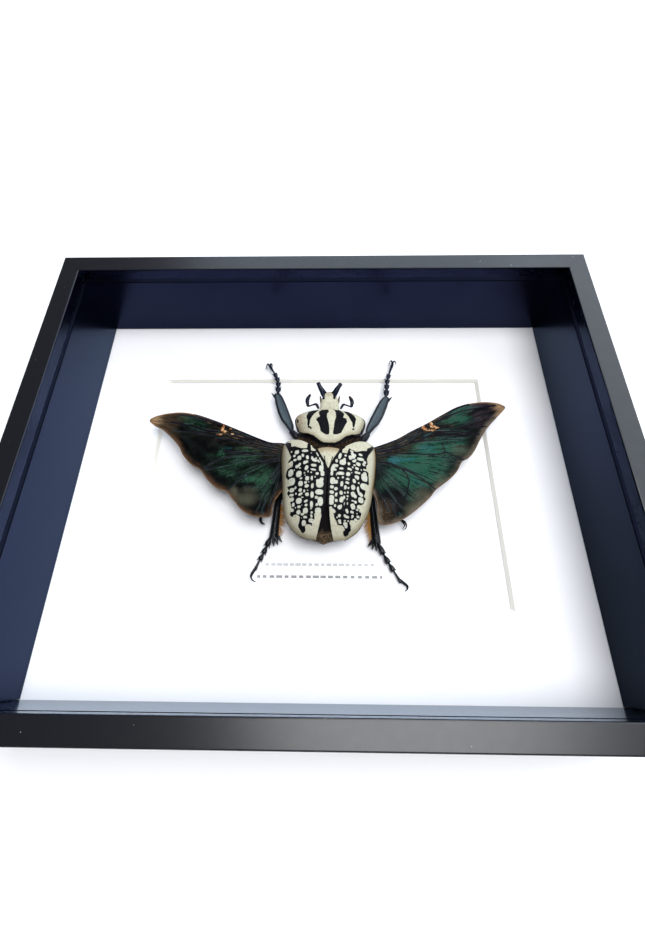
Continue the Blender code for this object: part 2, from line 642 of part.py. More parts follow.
FEET = {
    "fore_foot_left": dict(
        joints=[(-23.0, 51.0), (-23.6, 53.6), (-23.9, 56.8), (-24.8, 60.2), (-26.4, 63.5), (-29.7, 69.5)],
        heights=(20.0, 19.6, 19.2, 18.8, 18.4, 18.0), thin=0.55, thick=1.3,
        claws=[[(-29.3, 68.2, 17.95), (-30.5, 70.4, 17.9), (-31.3, 69.2, 17.6), (-31.5, 67.4, 17.2)],
               [(-29.1, 68.7, 18.2), (-28.9, 70.3, 18.25), (-28.2, 69.7, 18.2), (-28.1, 68.5, 17.6)]]),
    "fore_foot_right": dict(
        joints=[(34.7, 48.0), (35.2, 51.6), (35.6, 55.3), (36.1, 58.8), (37.2, 62.8), (39.6, 70.0)],
        heights=(20.0, 19.6, 19.2, 18.8, 18.4, 18.0), thin=0.55, thick=1.3,
        claws=[[(39.2, 68.6, 18.1), (39.4, 72.4, 17.9), (38.3, 71.9, 17.6), (37.7, 70.6, 17.2)],
               [(39.3, 68.95, 18.25), (40.4, 71.8, 18.2), (41.3, 71.4, 18.2), (41.6, 70.0, 17.6)]]),
    "hind_foot_left": dict(
        joints=[(-23.9, -30.4), (-25.2, -33.6), (-26.6, -36.8), (-28.2, -40.0), (-30.1, -44.4)],
        heights=(16.0, 15.6, 15.2, 14.8, 14.6), thin=0.5, thick=0.95,
        claws=[[(-29.72, -43.35, 14.63), (-31.5, -47.0, 14.4), (-30.85, -48.8, 14.05), (-29.4, -49.5, 13.85)],
               [(-29.6, -43.0, 14.78), (-31.6, -46.4, 15.0), (-31.5, -48.0, 14.8), (-30.5, -49.2, 14.5)]]),
    "hind_foot_right": dict(
        joints=[(27.8, -33.2), (30.0, -37.2), (32.2, -41.0), (34.4, -44.6), (37.4, -49.6)],
        heights=(16.0, 15.6, 15.2, 14.8, 14.6), thin=0.5, thick=0.95,
        claws=[[(36.9, -48.7, 14.7), (39.7, -50.9, 14.4), (40.0, -52.4, 14.0), (39.0, -53.3, 13.8)],
               [(37.02, -48.35, 14.85), (39.4, -50.2, 15.0), (40.4, -51.4, 14.8), (40.0, -52.8, 14.5)]]),
    "mid_foot_left": dict(
        joints=[(-27.6, -8.6), (-28.0, -11.6), (-28.3, -14.6), (-28.6, -19.6)],
        heights=(17.6, 17.4, 17.2, 17.6), thin=0.5, thick=0.9,
        claws=[[(-28.5, -18.8, 17.5), (-28.7, -21.6, 17.8), (-27.9, -22.8, 17.6), (-26.6, -23.3, 17.4)],
               [(-28.38, -18.45, 17.65), (-28.4, -21.2, 16.9), (-27.6, -22.2, 16.4), (-26.4, -22.8, 16.0)]]),
    "mid_foot_right": dict(
        joints=[(36.2, -9.6), (36.6, -12.6), (37.0, -15.8), (38.0, -21.2)],
        heights=(17.6, 17.4, 17.2, 17.6), thin=0.5, thick=0.9,
        claws=[[(37.7, -20.2, 17.5), (40.6, -22.0, 17.8), (40.9, -24.4, 17.6), (39.4, -25.7, 17.4)],
               [(37.82, -19.85, 17.65), (39.8, -21.9, 16.9), (40.4, -23.2, 16.4), (39.4, -24.8, 16.0)]]),
}


def feet():
    for name, foot_made in FEET.items():
        route, radii = beads(foot_made["joints"], foot_made["heights"], foot_made["thin"],
                             foot_made["thick"])
        foot(name, route, radii, foot_made["claws"])


def mid_leg(side, hip, knee, ankle):
    """A leg that lies folded under its wing."""
    thigh = tube([(*hip, 16.6), (*knee, 17.6)], (1.9, 1.6))
    made = piece(f"mid_leg_{side}", thigh, BLACK_SHELL)
    shin = tube([(*knee, 17.6), (*ankle, 17.6)], (1.2, 1.5))
    combine(made, piece(f"mid_shin_{side}", shin, BLACK_SHELL), 'UNION')


# A hind shin's flat outline, along and across: the hair fringe, then the spurs at its end
HIND_FRINGE = [(4.0, 0.0), (5.0, 2.6), (8.0, 4.4), (12.0, 4.9), (16.0, 4.6), (20.0, 3.9), (21.4, 3.0),
               (21.6, 1.9), (24.2, 4.2), (22.8, 1.4), (25.6, 2.4), (23.6, 0.2), (26.4, 0.5),
               (23.0, -1.0), (21.0, -1.4), (12.0, -0.6)]


def hind_leg(side, sign, hip, knee, ankle):
    """The thigh, the shin with its end spurs, and the thin form of its golden fringe."""
    thigh = tube([(*hip, LEG_Z), (*knee, LEG_Z + 0.6)], (2.2, 1.9))
    made = piece(f"hind_leg_{side}", thigh, BLACK_SHELL)
    shin = tube([(*knee, LEG_Z + 0.6), (*Vector(knee).lerp(Vector(ankle), 0.5), LEG_Z + 0.2),
                 (*ankle, LEG_Z)], (1.3, 1.8, 2.3))
    combine(made, piece(f"hind_shin_{side}", shin, BLACK_SHELL), 'UNION')
    fringe = plate(laid_along(HIND_FRINGE, knee, ankle, sign), LEG_Z - 0.5, LEG_Z + 0.4)
    combine(made, piece(f"hind_fringe_{side}", fringe, GOLDEN_HAIR), 'UNION')


def legs():
    fore_leg("left", -1, [(-11.0, 21.0), (-13.0, 23.2)], (-15.5, 25.9), (-23.4, 47.9))
    fore_leg("right", 1, [(20.0, 19.8), (21.9, 21.5)], (24.2, 24.4), (34.8, 47.3))
    mid_leg("left", (-12.6, 1.0), (-24.0, 5.0), (-27.4, -8.0))
    mid_leg("right", (20.6, 1.0), (32.0, 4.0), (36.1, -9.0))
    hind_leg("left", -1, (-11.6, -12.0), (-20.4, -7.0), (-22.0, -29.4))
    hind_leg("right", 1, (18.6, -12.0), (25.0, -9.0), (26.7, -31.9))


STEM = [(5.6, 34.6, 28.2), (6.9, 36.9, 28.4), (8.4, 36.7, 28.4), (10.9, 35.9, 28.2),
        (11.6, 36.6, 28.1)]
CLUBS = {"left": [(10.9, 36.0, 28.1), (11.5, 38.4, 28.2), (11.3, 40.4, 28.4), (10.0, 42.6, 28.8)],
         "right": [(10.9, 36.0, 28.1), (11.4, 38.2, 28.2), (11.0, 39.9, 28.4), (10.0, 41.7, 28.8)]}


def antennae():
    """The two feelers, each a thin stem with a long club turned forward."""
    for side, sign in (("left", -1), ("right", 1)):
        stem = [(*body_place(x * sign, y), z) for x, y, z in STEM]
        club = [(*body_place(x * sign, y), z) for x, y, z in CLUBS[side]]
        made = piece(f"antenna_{side}", tube(stem, (0.5, 0.75, 0.45, 0.4, 0.5)), BLACK_SHELL)
        lobes = tube(club, (0.5, 1.05, 0.95, 0.2))
        combine(made, piece(f"club_{side}", lobes, BLACK_SHELL), 'UNION')


clear_scene()
SPECIMEN = collection("framed goliath beetle")
HELPERS = collection("cutters and joined shapes")

BLACK_LACQUER = finish("black lacquer", (0.018, 0.018, 0.024), 0.35)
BLACK_CARD = finish("black card", (0.012, 0.013, 0.025), 0.6)
WHITE_MAT = finish("white mat", (0.93, 0.93, 0.93), 0.9)
WHITE_BOARD = finish("white board", (0.95, 0.95, 0.95), 0.9)
BROWN_BOARD = finish("brown board", (0.36, 0.24, 0.14), 0.85)
GLASS = finish("glass", (0.95, 0.97, 0.97), 0.02)
STEEL = finish("steel", (0.55, 0.56, 0.58), 0.35, 1.0)
IVORY = finish("ivory shell", (0.75, 0.71, 0.56), 0.45)
BLACK_SHELL = finish("black shell", (0.01, 0.012, 0.02), 0.25)
DARK_BROWN = finish("dark brown", (0.06, 0.04, 0.025), 0.6)
DARK_GREEN = finish("dark green wing", (0.02, 0.09, 0.06), 0.3)
GOLDEN_HAIR = finish("golden hair", (0.55, 0.3, 0.08), 0.6)

frame_rails()
case_filling()
trunk()
head()
pronotum()
wing_case("left", -1)
wing_case("right", 1)
scutellum()
wing("wing_left", WING_LEFT_LEAD, WING_LEFT_TRAIL, (-12.0, 12.0))
wing("wing_right", WING_RIGHT_LEAD, WING_RIGHT_TRAIL, (20.0, 10.0))
legs()
feet()
antennae()
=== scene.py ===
"""The looks of a framed goliath beetle: black box frame, glass, bevelled mat and the spread beetle.

Lengths are in millimetres until a mesh is finished, and materials read Object coordinates in
millimetres too. X runs across the frame, Y to its top edge and the beetle's head, Z out of the glass.
"""

import math
import random

import bmesh
import bpy
import numpy as np
from mathutils import Matrix, Vector


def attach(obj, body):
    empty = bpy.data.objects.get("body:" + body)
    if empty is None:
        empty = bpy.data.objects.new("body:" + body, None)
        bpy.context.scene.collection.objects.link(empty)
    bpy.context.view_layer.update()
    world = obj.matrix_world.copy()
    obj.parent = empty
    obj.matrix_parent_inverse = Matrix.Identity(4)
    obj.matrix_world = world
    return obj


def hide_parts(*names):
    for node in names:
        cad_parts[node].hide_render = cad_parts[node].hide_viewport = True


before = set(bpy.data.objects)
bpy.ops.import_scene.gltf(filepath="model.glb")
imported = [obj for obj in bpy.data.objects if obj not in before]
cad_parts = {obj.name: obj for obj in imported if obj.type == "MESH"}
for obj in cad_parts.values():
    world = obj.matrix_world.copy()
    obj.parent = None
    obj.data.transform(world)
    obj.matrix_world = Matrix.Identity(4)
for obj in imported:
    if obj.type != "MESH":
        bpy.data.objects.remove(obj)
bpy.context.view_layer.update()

MM = 0.001
FAR = 1e9
UP = Vector((0, 0, 1))
SIDES = {"left": -1, "right": 1}

# Edges that turn more than this, in degrees, are shaded as sharp
SHARP_TURN = 50

# The beetle's midline: where it crosses y = 0, and its lean towards +X
BODY_X = 3.95
BODY_LEAN = math.radians(0.8)

# How many hairs grow on the neck, behind the shield's middle and on each hind shin
NECK_HAIRS = 1500
TUFT_HAIRS = 60
FRINGE_HAIRS = 260

# Half the width of the fine black lines on the small triangle between the wing cases
FINE_LINE = 0.22

# Heights of the flying wings and of the middle of the legs
WING_Z = 25.0
LEG_Z = 16.0
MID_KNEE_Z = 17.6
FORE_LEG_Z = 20.0

# Half width and half height of the opening in the frame's lip and of the one in the mat's bevel
LIP_OPENING = (124.0, 98.5)
MAT_OPENING = (86.9, 61.9)

# Between these distances from the middle, the painted reflection on the left wall and the painted shade on
# the right wall fade in
WALL_FADE = (121.5, 123.0)


# Shader values and materials

class Wire:
    """A shader value on which arithmetic adds Math nodes."""

    def __init__(self, look, socket):
        self.look = look
        self.socket = socket

    def __add__(self, other):
        return self.look.math('ADD', self, other)

    __radd__ = __add__

    def __sub__(self, other):
        return self.look.math('SUBTRACT', self, other)

    def __rsub__(self, other):
        return self.look.math('SUBTRACT', other, self)

    def __mul__(self, other):
        return self.look.math('MULTIPLY', self, other)

    __rmul__ = __mul__

    def __truediv__(self, other):
        return self.look.math('DIVIDE', self, other)

    def __pow__(self, other):
        return self.look.math('POWER', self, other)

    def least(self, other):
        return self.look.math('MINIMUM', self, other)

    def most(self, other):
        return self.look.math('MAXIMUM', self, other)

    def size(self):
        return self.look.math('ABSOLUTE', self)

    def rise(self, low, high):
        """0 below low, 1 above high and smooth between; falls instead where low is over high."""
        return self.look.node('ShaderNodeMapRange', {'interpolation_type': 'SMOOTHSTEP'},
                              {'Value': self, 'From Min': low, 'From Max': high})


class Look:
    """A material whose nodes are added as its colour, gloss and relief are worked out."""

    def __init__(self, name, **sockets):
        self.material = bpy.data.materials.new(name)
        self.material.use_nodes = True
        self.tree = self.material.node_tree
        self.shader = self.tree.nodes["Principled BSDF"]
        self.feed(**sockets)

    def node(self, kind, settings=None, values=None, out=0):
        """Adds a node, makes its settings, then sets or links its sockets."""
        made = self.tree.nodes.new(kind)
        for name, value in (settings or {}).items():
            setattr(made, name, value)
        for name, value in (values or {}).items():
            self.put(made.inputs[name], value)
        return Wire(self, made.outputs[out])

    def put(self, socket, value):
        if isinstance(value, Wire):
            self.tree.links.new(value.socket, socket)
        elif isinstance(value, (tuple, list)) and socket.type == 'RGBA':
            socket.default_value = (*value[:3], 1.0)
        else:
            socket.default_value = value

    def feed(self, **sockets):
        """Sets or links the shader's own sockets, named with underscores for spaces."""
        for name, value in sockets.items():
            self.put(self.shader.inputs[name.replace("_", " ")], value)

    def math(self, operation, *values):
        return self.node('ShaderNodeMath', {'operation': operation}, dict(enumerate(values)))

    def place(self, stretch=(1, 1, 1)):
        """The point on the piece in millimetres, stretched along each axis."""
        spot = self.node('ShaderNodeTexCoord', out='Object')
        return self.node('ShaderNodeVectorMath', {'operation': 'MULTIPLY'}, {
            0: spot, 1: [s / MM for s in stretch]})

    def xy(self):
        """How far the point is to the right and up from the frame's middle."""
        place = self.place()
        return [self.node('ShaderNodeSeparateXYZ', {}, {0: place}, axis) for axis in 'XY']

    def outside(self, opening):
        """How far the point is outside an opening about the frame's middle."""
        x, y = self.xy()
        return (x.size() - opening[0]).most(y.size() - opening[1])

    def noise(self, scale, detail=2.0, rough=0.5, spot=None):
        return self.node('ShaderNodeTexNoise', {}, {
            'Vector': spot or self.place(), 'Scale': scale, 'Detail': detail, 'Roughness': rough})

    def cells(self, scale):
        return self.node('ShaderNodeTexVoronoi', {}, {'Vector': self.place(), 'Scale': scale}, 'Distance')

    def own(self, name):
        """A value kept on the piece's own points."""
        return self.node('ShaderNodeAttribute', {'attribute_name': name}, out='Fac')

    def mix(self, share, first, second):
        return self.node('ShaderNodeMix', {'data_type': 'RGBA'}, {0: share, 6: first, 7: second}, 2)

    def layers(self, tone, *layers):
        """A colour with others laid over it in turn, each given as (share, colour)."""
        for share, over in layers:
            tone = self.mix(share, tone, over)
        return tone

    def relief(self, height, depth, strength):
        """A bump of the height's full range, depth millimetres high."""
        return self.node('ShaderNodeBump', {}, {
            'Height': height, 'Distance': depth * MM, 'Strength': strength})


# Curves and tables

def along(points, t):
    """The point at t, from 0 to 1 by length, on the smooth curve through the points."""
    lengths = [math.dist(a, b) for a, b in zip(points, points[1:])]
    left = t * sum(lengths)
    i = 0
    while i < len(lengths) - 1 and left > lengths[i]:
        left -= lengths[i]
        i += 1
    f = min(left / lengths[i], 1.0)
    p1, p2 = Vector(points[i]), Vector(points[i + 1])
    p0 = Vector(points[i - 1]) if i > 0 else p1
    p3 = Vector(points[i + 2]) if i + 2 < len(points) else p2
    return 0.5 * (2 * p1 + (p2 - p0) * f + (2 * p0 - 5 * p1 + 4 * p2 - p3) * f * f
                  + (3 * p1 - p0 - 3 * p2 + p3) * f ** 3)


def smooth_table(table, step=0.25, spread=1.2, beyond=6):
    """A table of (x, value) pairs, rounded at its corners, as a function of x."""
    (x0, v0), (x1, v1), (x2, v2), (x3, v3) = *table[:2], *table[-2:]
    xs = np.arange(x0 - beyond, x3 + beyond, step)
    values = np.interp(xs, [x for x, _ in table], [v for _, v in table])
    values += np.minimum(0, xs - x0) * (v1 - v0) / (x1 - x0)
    values += np.maximum(0, xs - x3) * (v3 - v2) / (x3 - x2)
    weights = np.exp(-0.5 * (np.arange(-3 * spread, 3 * spread + step, step) / spread) ** 2)
    weights /= weights.sum()
    pad = len(weights) // 2
    rounded = np.convolve(values, weights, 'same')
    rounded[:pad] = values[:pad]
    rounded[-pad:] = values[-pad:]
    return lambda x: np.interp(x, xs, rounded)


def body_place(x, y):
    """A point of the beetle, given across and along its own midline, in the frame."""
    c, s = math.cos(BODY_LEAN), math.sin(BODY_LEAN)
    return BODY_X + x * c + y * s, y * c - x * s


def placed(points, sign=1):
    """The same for a list of points, with x turned over where sign is -1. Heights stay."""
    return [(*body_place(x * sign, y), *z) for x, y, *z in points]


def patch(u, v, front, rear, left, right):
    """The point (u, v) inside four edge curves; v runs from the rear edge to the front edge."""
    f, r, a, b = along(front, u), along(rear, u), along(left, v), along(right, v)
    corners = (Vector(left[0]) * (1 - u) * (1 - v) + Vector(right[0]) * u * (1 - v)
               + Vector(left[-1]) * (1 - u) * v + Vector(right[-1]) * u * v)
    return f * v + r * (1 - v) + a * (1 - u) + b * u - corners


def from_line(spots, line):
    """How far each spot is from a line through points."""
    nearest = np.full(len(spots), FAR)
    for a, b in zip(np.array(line[:-1], float), np.array(line[1:], float)):
        run = b - a
        t = np.clip(((spots - a) @ run) / max(run @ run, 1e-9), 0, 1)
        nearest = np.minimum(nearest, np.hypot(*(spots - a - t[:, None] * run).T))
    return nearest


def inside(spots, outline):
    """How deep each spot is inside a closed outline; less than 0 outside it."""
    ring = np.array(list(outline) + [outline[0]], float)
    within = np.zeros(len(spots), bool)
    for (x0, y0), (x1, y1) in zip(ring[:-1], ring[1:]):
        if y0 == y1:
            continue
        crosses = (spots[:, 1] < y0) != (spots[:, 1] < y1)
        within ^= crosses & (spots[:, 0] < (x1 - x0) * (spots[:, 1] - y0) / (y1 - y0) + x0)
    return np.where(within, 1, -1) * from_line(spots, ring)


def oval_share(spots, x, y, wide, high, lean):
    """How far each spot is across and up from an oval's middle, in shares of its half sizes."""
    c, s = math.cos(math.radians(lean)), math.sin(math.radians(lean))
    dx, dy = spots[:, 0] - x, spots[:, 1] - y
    return (dx * c + dy * s) / wide, (dy * c - dx * s) / high


def in_ovals(spots, ovals):
    """How deep each spot is inside the nearest of some ovals (x, y, half width, half height, lean)."""
    deepest = np.full(len(spots), -FAR)
    for oval in ovals:
        across, up = oval_share(spots, *oval)
        reach = (np.abs(across) ** 2.6 + np.abs(up) ** 2.6) ** (1 / 2.6)
        deepest = np.maximum(deepest, (1 - reach) * min(oval[2:4]))
    return deepest


def patches(spots, rows):
    """Soft oval patches (x, y, half width, half height, lean, strength), added up."""
    total = np.zeros(len(spots))
    for *oval, strength in rows:
        across, up = oval_share(spots, *oval)
        total += strength * np.exp(-(across ** 2 + up ** 2) ** 1.2)
    return total


# Pieces

def sheet_mesh(columns, rows, place):
    """A grid whose point (u, v), each from 0 to 1, goes where place says."""
    mesh = bmesh.new()
    bmesh.ops.create_grid(mesh, x_segments=columns, y_segments=rows, size=0.5)
    for vert in mesh.verts:
        vert.co = Vector(place(vert.co.x + 0.5, vert.co.y + 0.5))
    return mesh


def close_below(mesh, drop):
    """Closes a sheet into a solid: its copy is moved by what drop gives for each point."""
    made = bmesh.ops.extrude_face_region(mesh, geom=list(mesh.faces), use_keep_orig=True)
    for part in made["geom"]:
        if isinstance(part, bmesh.types.BMVert):
            part.co = Vector(drop(part.co))
    bmesh.ops.recalc_face_normals(mesh, faces=mesh.faces)


def onto_body(mesh, aside=lambda y: 0.0):
    """Moves a mesh made about the beetle's midline to its place in the frame."""
    for vert in mesh.verts:
        vert.co.x, vert.co.y = body_place(vert.co.x + aside(vert.co.y), vert.co.y)


def piece(name, mesh, look, slot, *nodes):
    """Finishes a bmesh in millimetres as a piece that stands for the given CAD nodes."""
    bmesh.ops.scale(mesh, vec=(MM, MM, MM), verts=mesh.verts)
    data = bpy.data.meshes.new(name)
    mesh.to_mesh(data)
    mesh.free()
    made = bpy.data.objects.new(name, data)
    bpy.context.scene.collection.objects.link(made)
    data.shade_smooth()
    data.set_sharp_from_angle(angle=math.radians(SHARP_TURN))
    data.materials.append(look.material)
    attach(made, "root")
    if nodes:
        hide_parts(*nodes)
    return made


def own_values(made, **kept):
    """Keeps values for each point of a piece, under the names given."""
    for name, values in kept.items():
        values = np.broadcast_to(np.asarray(values, np.float32), len(made.data.vertices))
        made.data.attributes.new(name, 'FLOAT', 'POINT').data.foreach_set("value", values.copy())


def points_of(made):
    co = np.zeros(len(made.data.vertices) * 3, np.float32)
    made.data.vertices.foreach_get("co", co)
    return co.reshape(-1, 3) / MM


def limb(mesh, points, radii, rings=26, sides=14):
    """Adds a round limb along a smooth curve, closed and blunt at both ends."""
    made = bmesh.ops.create_uvsphere(mesh, u_segments=sides, v_segments=rings, radius=1.0)["verts"]
    steps = np.linspace(0, 1, len(radii))
    for vert in made:
        ring = round(math.acos(max(-1.0, min(1.0, vert.co.z))) / math.pi * rings)
        t = (ring - 1) / (rings - 2)
        spot = along(points, min(1.0, max(0.0, t)))
        ahead = (along(points, min(1.0, t + 0.02)) - along(points, max(0.0, t - 0.02))).normalized()
        aside = ahead.cross(UP).normalized()
        over = aside.cross(ahead)
        width = float(np.interp(t, steps, radii))
        if ring in (0, rings):
            vert.co = spot + ahead * width * (0.45 if ring else -0.45)
            continue
        turn = math.atan2(vert.co.y, vert.co.x)
        vert.co = spot + (aside * math.cos(turn) + over * math.sin(turn)) * width


def body_of(mesh, stations, sides=48, rings=48, square=2.0):
    """Adds a closed body along Y. Each station is (y, half width, lowest z, highest z)."""
    upright = Matrix.Rotation(math.radians(-90), 4, 'X')
    made = bmesh.ops.create_uvsphere(mesh, u_segments=sides, v_segments=rings, radius=1.0,
                                     matrix=upright)["verts"]
    wide, low, high = (smooth_table([(s[0], s[k]) for s in stations], spread=0.8) for k in (1, 2, 3))
    first, last = stations[0][0], stations[-1][0]
    for vert in made:
        y = first + (last - first) * (vert.co.y + 1) / 2
        radius = math.hypot(vert.co.x, vert.co.z)
        across = height = stretch = blunt = 0.0
        if radius > 1e-4:
            across, height = vert.co.x / radius, vert.co.z / radius
            stretch = (abs(across) ** square + abs(height) ** square) ** (-1 / square)
            blunt = min(1.0, 2.2 * radius)
        bottom, top = float(low(y)), float(high(y))
        vert.co = (across * stretch * float(wide(y)) * blunt, y,
                   (bottom + top) / 2 + height * stretch * (top - bottom) / 2 * blunt)


def hair_at(mesh, root, tip, width):
    """Adds one hair, a thin three-sided spike."""
    root, tip = Vector(root), Vector(tip)
    run = tip - root
    place = Matrix.Translation((root + tip) / 2) @ run.to_track_quat('Z', 'Y').to_matrix().to_4x4()
    bmesh.ops.create_cone(mesh, cap_ends=False, segments=3, radius1=width, radius2=width * 0.2,
                          depth=run.length, matrix=place)


# Materials

COOL = (0.8, 0.9, 1.0)


def card_fibre(look):
    return look.noise(1.6, 4, 0.6, look.place((1, 1, 0.35)))


def card_tone_and_painted_light(look, fibre):
    """Navy card, with painted light: the left wall is lighter, a painted reflection, and the right one
    darkens towards the bottom, painted shade.
    """
    x, y = look.xy()
    first, full = WALL_FADE
    return look.layers(
        look.mix(look.noise(0.03), (0.008, 0.0095, 0.027), (0.013, 0.0155, 0.038)),
        # Painted reflection: the left wall is lighter
        (x.rise(-first, -full) * 0.8, (0.024, 0.031, 0.063)),
        # Painted shade: the right wall darkens towards the bottom
        (x.rise(first, full) * y.rise(40, -60) * 0.85, (0.003, 0.0035, 0.008)),
        (fibre.rise(0.6, 0.85) * 0.3, (0.03, 0.034, 0.08)))


def lacquer_look():
    """Satin black lacquer. The lip's inner faces show the same navy card as the walls."""
    look = Look("satin black lacquer", Specular_IOR_Level=0.05, Coat_Roughness=0.26, Specular_Tint=COOL)
    brushed = look.noise(0.9, 3, 0.55, look.place((0.3, 0.3, 1.0)))
    dust = look.cells(0.22).rise(0.055, 0.02) * look.noise(0.11).rise(0.52, 0.6)
    lint = look.noise(2.6, 4, 0.7).rise(0.62, 0.78)
    within = look.outside(LIP_OPENING).rise(0.16, 0.06)
    base = look.layers(look.mix(look.noise(0.02, 2), (0.0025, 0.003, 0.004), (0.005, 0.0055, 0.008)),
                       (lint * 0.25, (0.11, 0.11, 0.12)), (dust, (0.5, 0.5, 0.5)))
    look.feed(Base_Color=look.mix(within, base, card_tone_and_painted_light(look, card_fibre(look))), Metallic=within,
              Roughness=0.4 + brushed * 0.14 + dust * 0.4 - within * 0.22,
              Coat_Weight=(0.75 + brushed * 0.2) * (1 - within), Normal=look.relief(brushed, 0.03, 0.35))
    return look


def card_look():
    look = Look("navy black card", Metallic=1.0, Specular_Tint=COOL)
    fibre = card_fibre(look)
    look.feed(Base_Color=card_tone_and_painted_light(look, fibre), Roughness=0.17 + fibre * 0.08,
              Normal=look.relief(fibre, 0.02, 0.3))
    return look


def mat_look():
    """White mat board. Its bevel shows the cream core."""
    look = Look("white mat board", Roughness=0.85, Specular_IOR_Level=0.25)
    on_bevel = look.outside(MAT_OPENING).rise(0.35, -0.05)
    tone = look.mix(look.noise(0.035, 3), (0.88, 0.885, 0.9), (0.92, 0.92, 0.93))
    core = look.mix(look.noise(4.0, 3), (0.73, 0.71, 0.64), (0.81, 0.79, 0.72))
    look.feed(Base_Color=look.mix(on_bevel, tone, core),
              Normal=look.relief(look.noise(3.2, 4, 0.65), 0.05, 0.5))
    return look


def board_look():
    """White mount board with two rows of short grey dashes below the beetle."""
    look = Look("white mount board", Roughness=0.85, Specular_IOR_Level=0.25)
    x, y = look.xy()
    tone = look.mix(look.noise(0.03, 3), (0.88, 0.885, 0.895), (0.92, 0.925, 0.93))
    rows = 0.0
    for row, half, dark, pitch in ((-41.4, 25.8, 0.5, 2.9), (-47.0, 29.0, 0.8, 3.4)):
        step = x / pitch + 40.0
        cell = look.node('ShaderNodeTexWhiteNoise', {'noise_dimensions': '1D'}, {
            'W': look.math('FLOOR', step) + row})
        dash = (look.math('FRACT', step) - 0.5).size().rise(cell * 0.2 + 0.28, cell * 0.2 + 0.22)
        line = (y - row).size().rise(0.78, 0.5) * x.size().rise(half + 0.1, half - 0.1)
        rows = (dash * line * dark).most(rows)
    look.feed(Base_Color=look.mix(rows * (0.8 + look.noise(2.0, 3) * 0.3), tone, (0.078, 0.075, 0.078)),
              Normal=look.relief(look.noise(3.0, 4, 0.65), 0.05, 0.5))
    return look


def back_look():
    look = Look("brown back board", Roughness=0.8, Specular_IOR_Level=0.3)
    fibres = look.noise(1.1, 5, 0.7)
    flecks = look.cells(0.9).rise(0.35, 0.1) * look.noise(0.4).rise(0.5, 0.62)
    tone = look.mix(fibres, (0.2, 0.12, 0.062), (0.38, 0.25, 0.14))
    look.feed(Base_Color=look.mix(flecks * 0.6, tone, (0.52, 0.39, 0.25)),
              Normal=look.relief(fibres, 0.15, 0.6))
    return look


def steel_look():
    look = Look("zinc plated steel", Metallic=1.0)
    drawn = look.noise(2.4, 3, 0.6, look.place((0.25, 2.0, 1.0)))
    look.feed(Base_Color=look.mix(look.cells(0.5), (0.45, 0.46, 0.49), (0.6, 0.61, 0.62)),
              Roughness=0.27 + drawn * 0.2, Normal=look.relief(drawn, 0.02, 0.4))
    return look


def glass_look():
    """Clear picture glass: a weak reflection that grows at a slant. Under the lip the pane is nearly opaque,
    with a faint painted glow that stands in for light carried in its cut edges.
    """
    look = Look("picture glass", Roughness=0.05, Emission_Strength=1.0)
    x, y = look.xy()
    slant = look.node('ShaderNodeLayerWeight', out='Facing')
    under_lip = look.outside(LIP_OPENING).rise(0.15, 0.35)
    # Painted shade: the painted glow fades out near the top corners
    corner = x.size().rise(90, 112) * y.rise(60, 84)
    cloud = look.noise(0.05)
    # Painted glow: a faint emission under the lip, standing in for light carried in the cut edge
    painted_glow = look.mix(cloud, (0.007, 0.0085, 0.02), (0.01, 0.012, 0.026))
    look.feed(Base_Color=look.mix(cloud, (0.004, 0.007, 0.012), (0.008, 0.012, 0.02)),
              Emission_Color=look.mix(under_lip * (1 - corner * 0.9), (0, 0, 0), painted_glow),
              Alpha=(slant ** 6 * 0.35).most(under_lip * 0.95))
    return look


def ivory_look(name, wing_case=False):
    """Velvety ivory shell with black marks where the piece's own ink value is over 0, and painted shade on
    its left side.
    """
    look = Look(name, Specular_IOR_Level=0.05)
    x, y = look.xy()
    edge = look.own("edge")
    grain = look.noise(1.7, 4, 0.7)
    blotch = look.noise(0.6, 5, 0.75)
    wobble = (look.noise(1.0, 3, 0.6) - 0.5) * 0.4
    ink = (look.own("ink") + wobble).rise(-0.09, 0.12)
    specks = look.cells(0.8).rise(0.16, 0.08) * look.noise(0.4).rise(0.42, 0.52)
    tone = look.layers(
        look.mix(look.noise(0.12, 3), (0.46, 0.44, 0.32), (0.57, 0.555, 0.425)),
        (look.own("net").rise(-0.3, 0.5), (0.52, 0.535, 0.45)),
        (blotch.rise(0.46, 0.7) * 0.55, (0.3, 0.275, 0.18)),
        (grain.rise(0.5, 0.7) * 0.5, (0.68, 0.67, 0.56)),
        (grain.rise(0.45, 0.3) * 0.6, (0.18, 0.16, 0.095)),
        ((edge + (blotch - 0.5) * 2.4).rise(2.6, 0.1) * 0.75, (0.235, 0.195, 0.11)))
    if wing_case:
        tan = edge.rise(0.9, 0.3) * x.rise(20, 24) * y.rise(-13, -9)
        # Painted shade: the steep left side of the left wing case turns mottled beige-brown
        tone = look.layers(tone, (x.rise(-14.5, -18.5) * (0.35 + blotch * 0.5), (0.27, 0.21, 0.12)),
                           (tan, (0.24, 0.13, 0.05)))
    else:
        # Painted shade: the left side of the shield is mottled tan; the snout and the small triangle are tan
        # of their own
        shield_side_painted_shade = x.rise(-6.0, -10.5) * y.rise(30.5, 28.0) * blotch.rise(0.3, 0.6)
        snout = y.rise(38.8, 41.5) * blotch.rise(0.35, 0.6) * 0.8
        triangle = y.rise(2.5, 8.0) * y.rise(9.5, 9.0) * blotch.rise(0.3, 0.6) * 0.9
        tone = look.mix(shield_side_painted_shade.most(snout).most(triangle) * 0.7, tone, (0.32, 0.22, 0.12))
    black = look.mix(look.noise(0.8, 3), (0.002, 0.002, 0.003), (0.007, 0.007, 0.009))
    look.feed(Base_Color=look.layers(tone, (specks * 0.8, (0.05, 0.04, 0.03)), (ink, black)),
              Roughness=0.5 + grain * 0.2 - ink * 0.12, Normal=look.relief(grain, 0.04, 0.6))
    return look


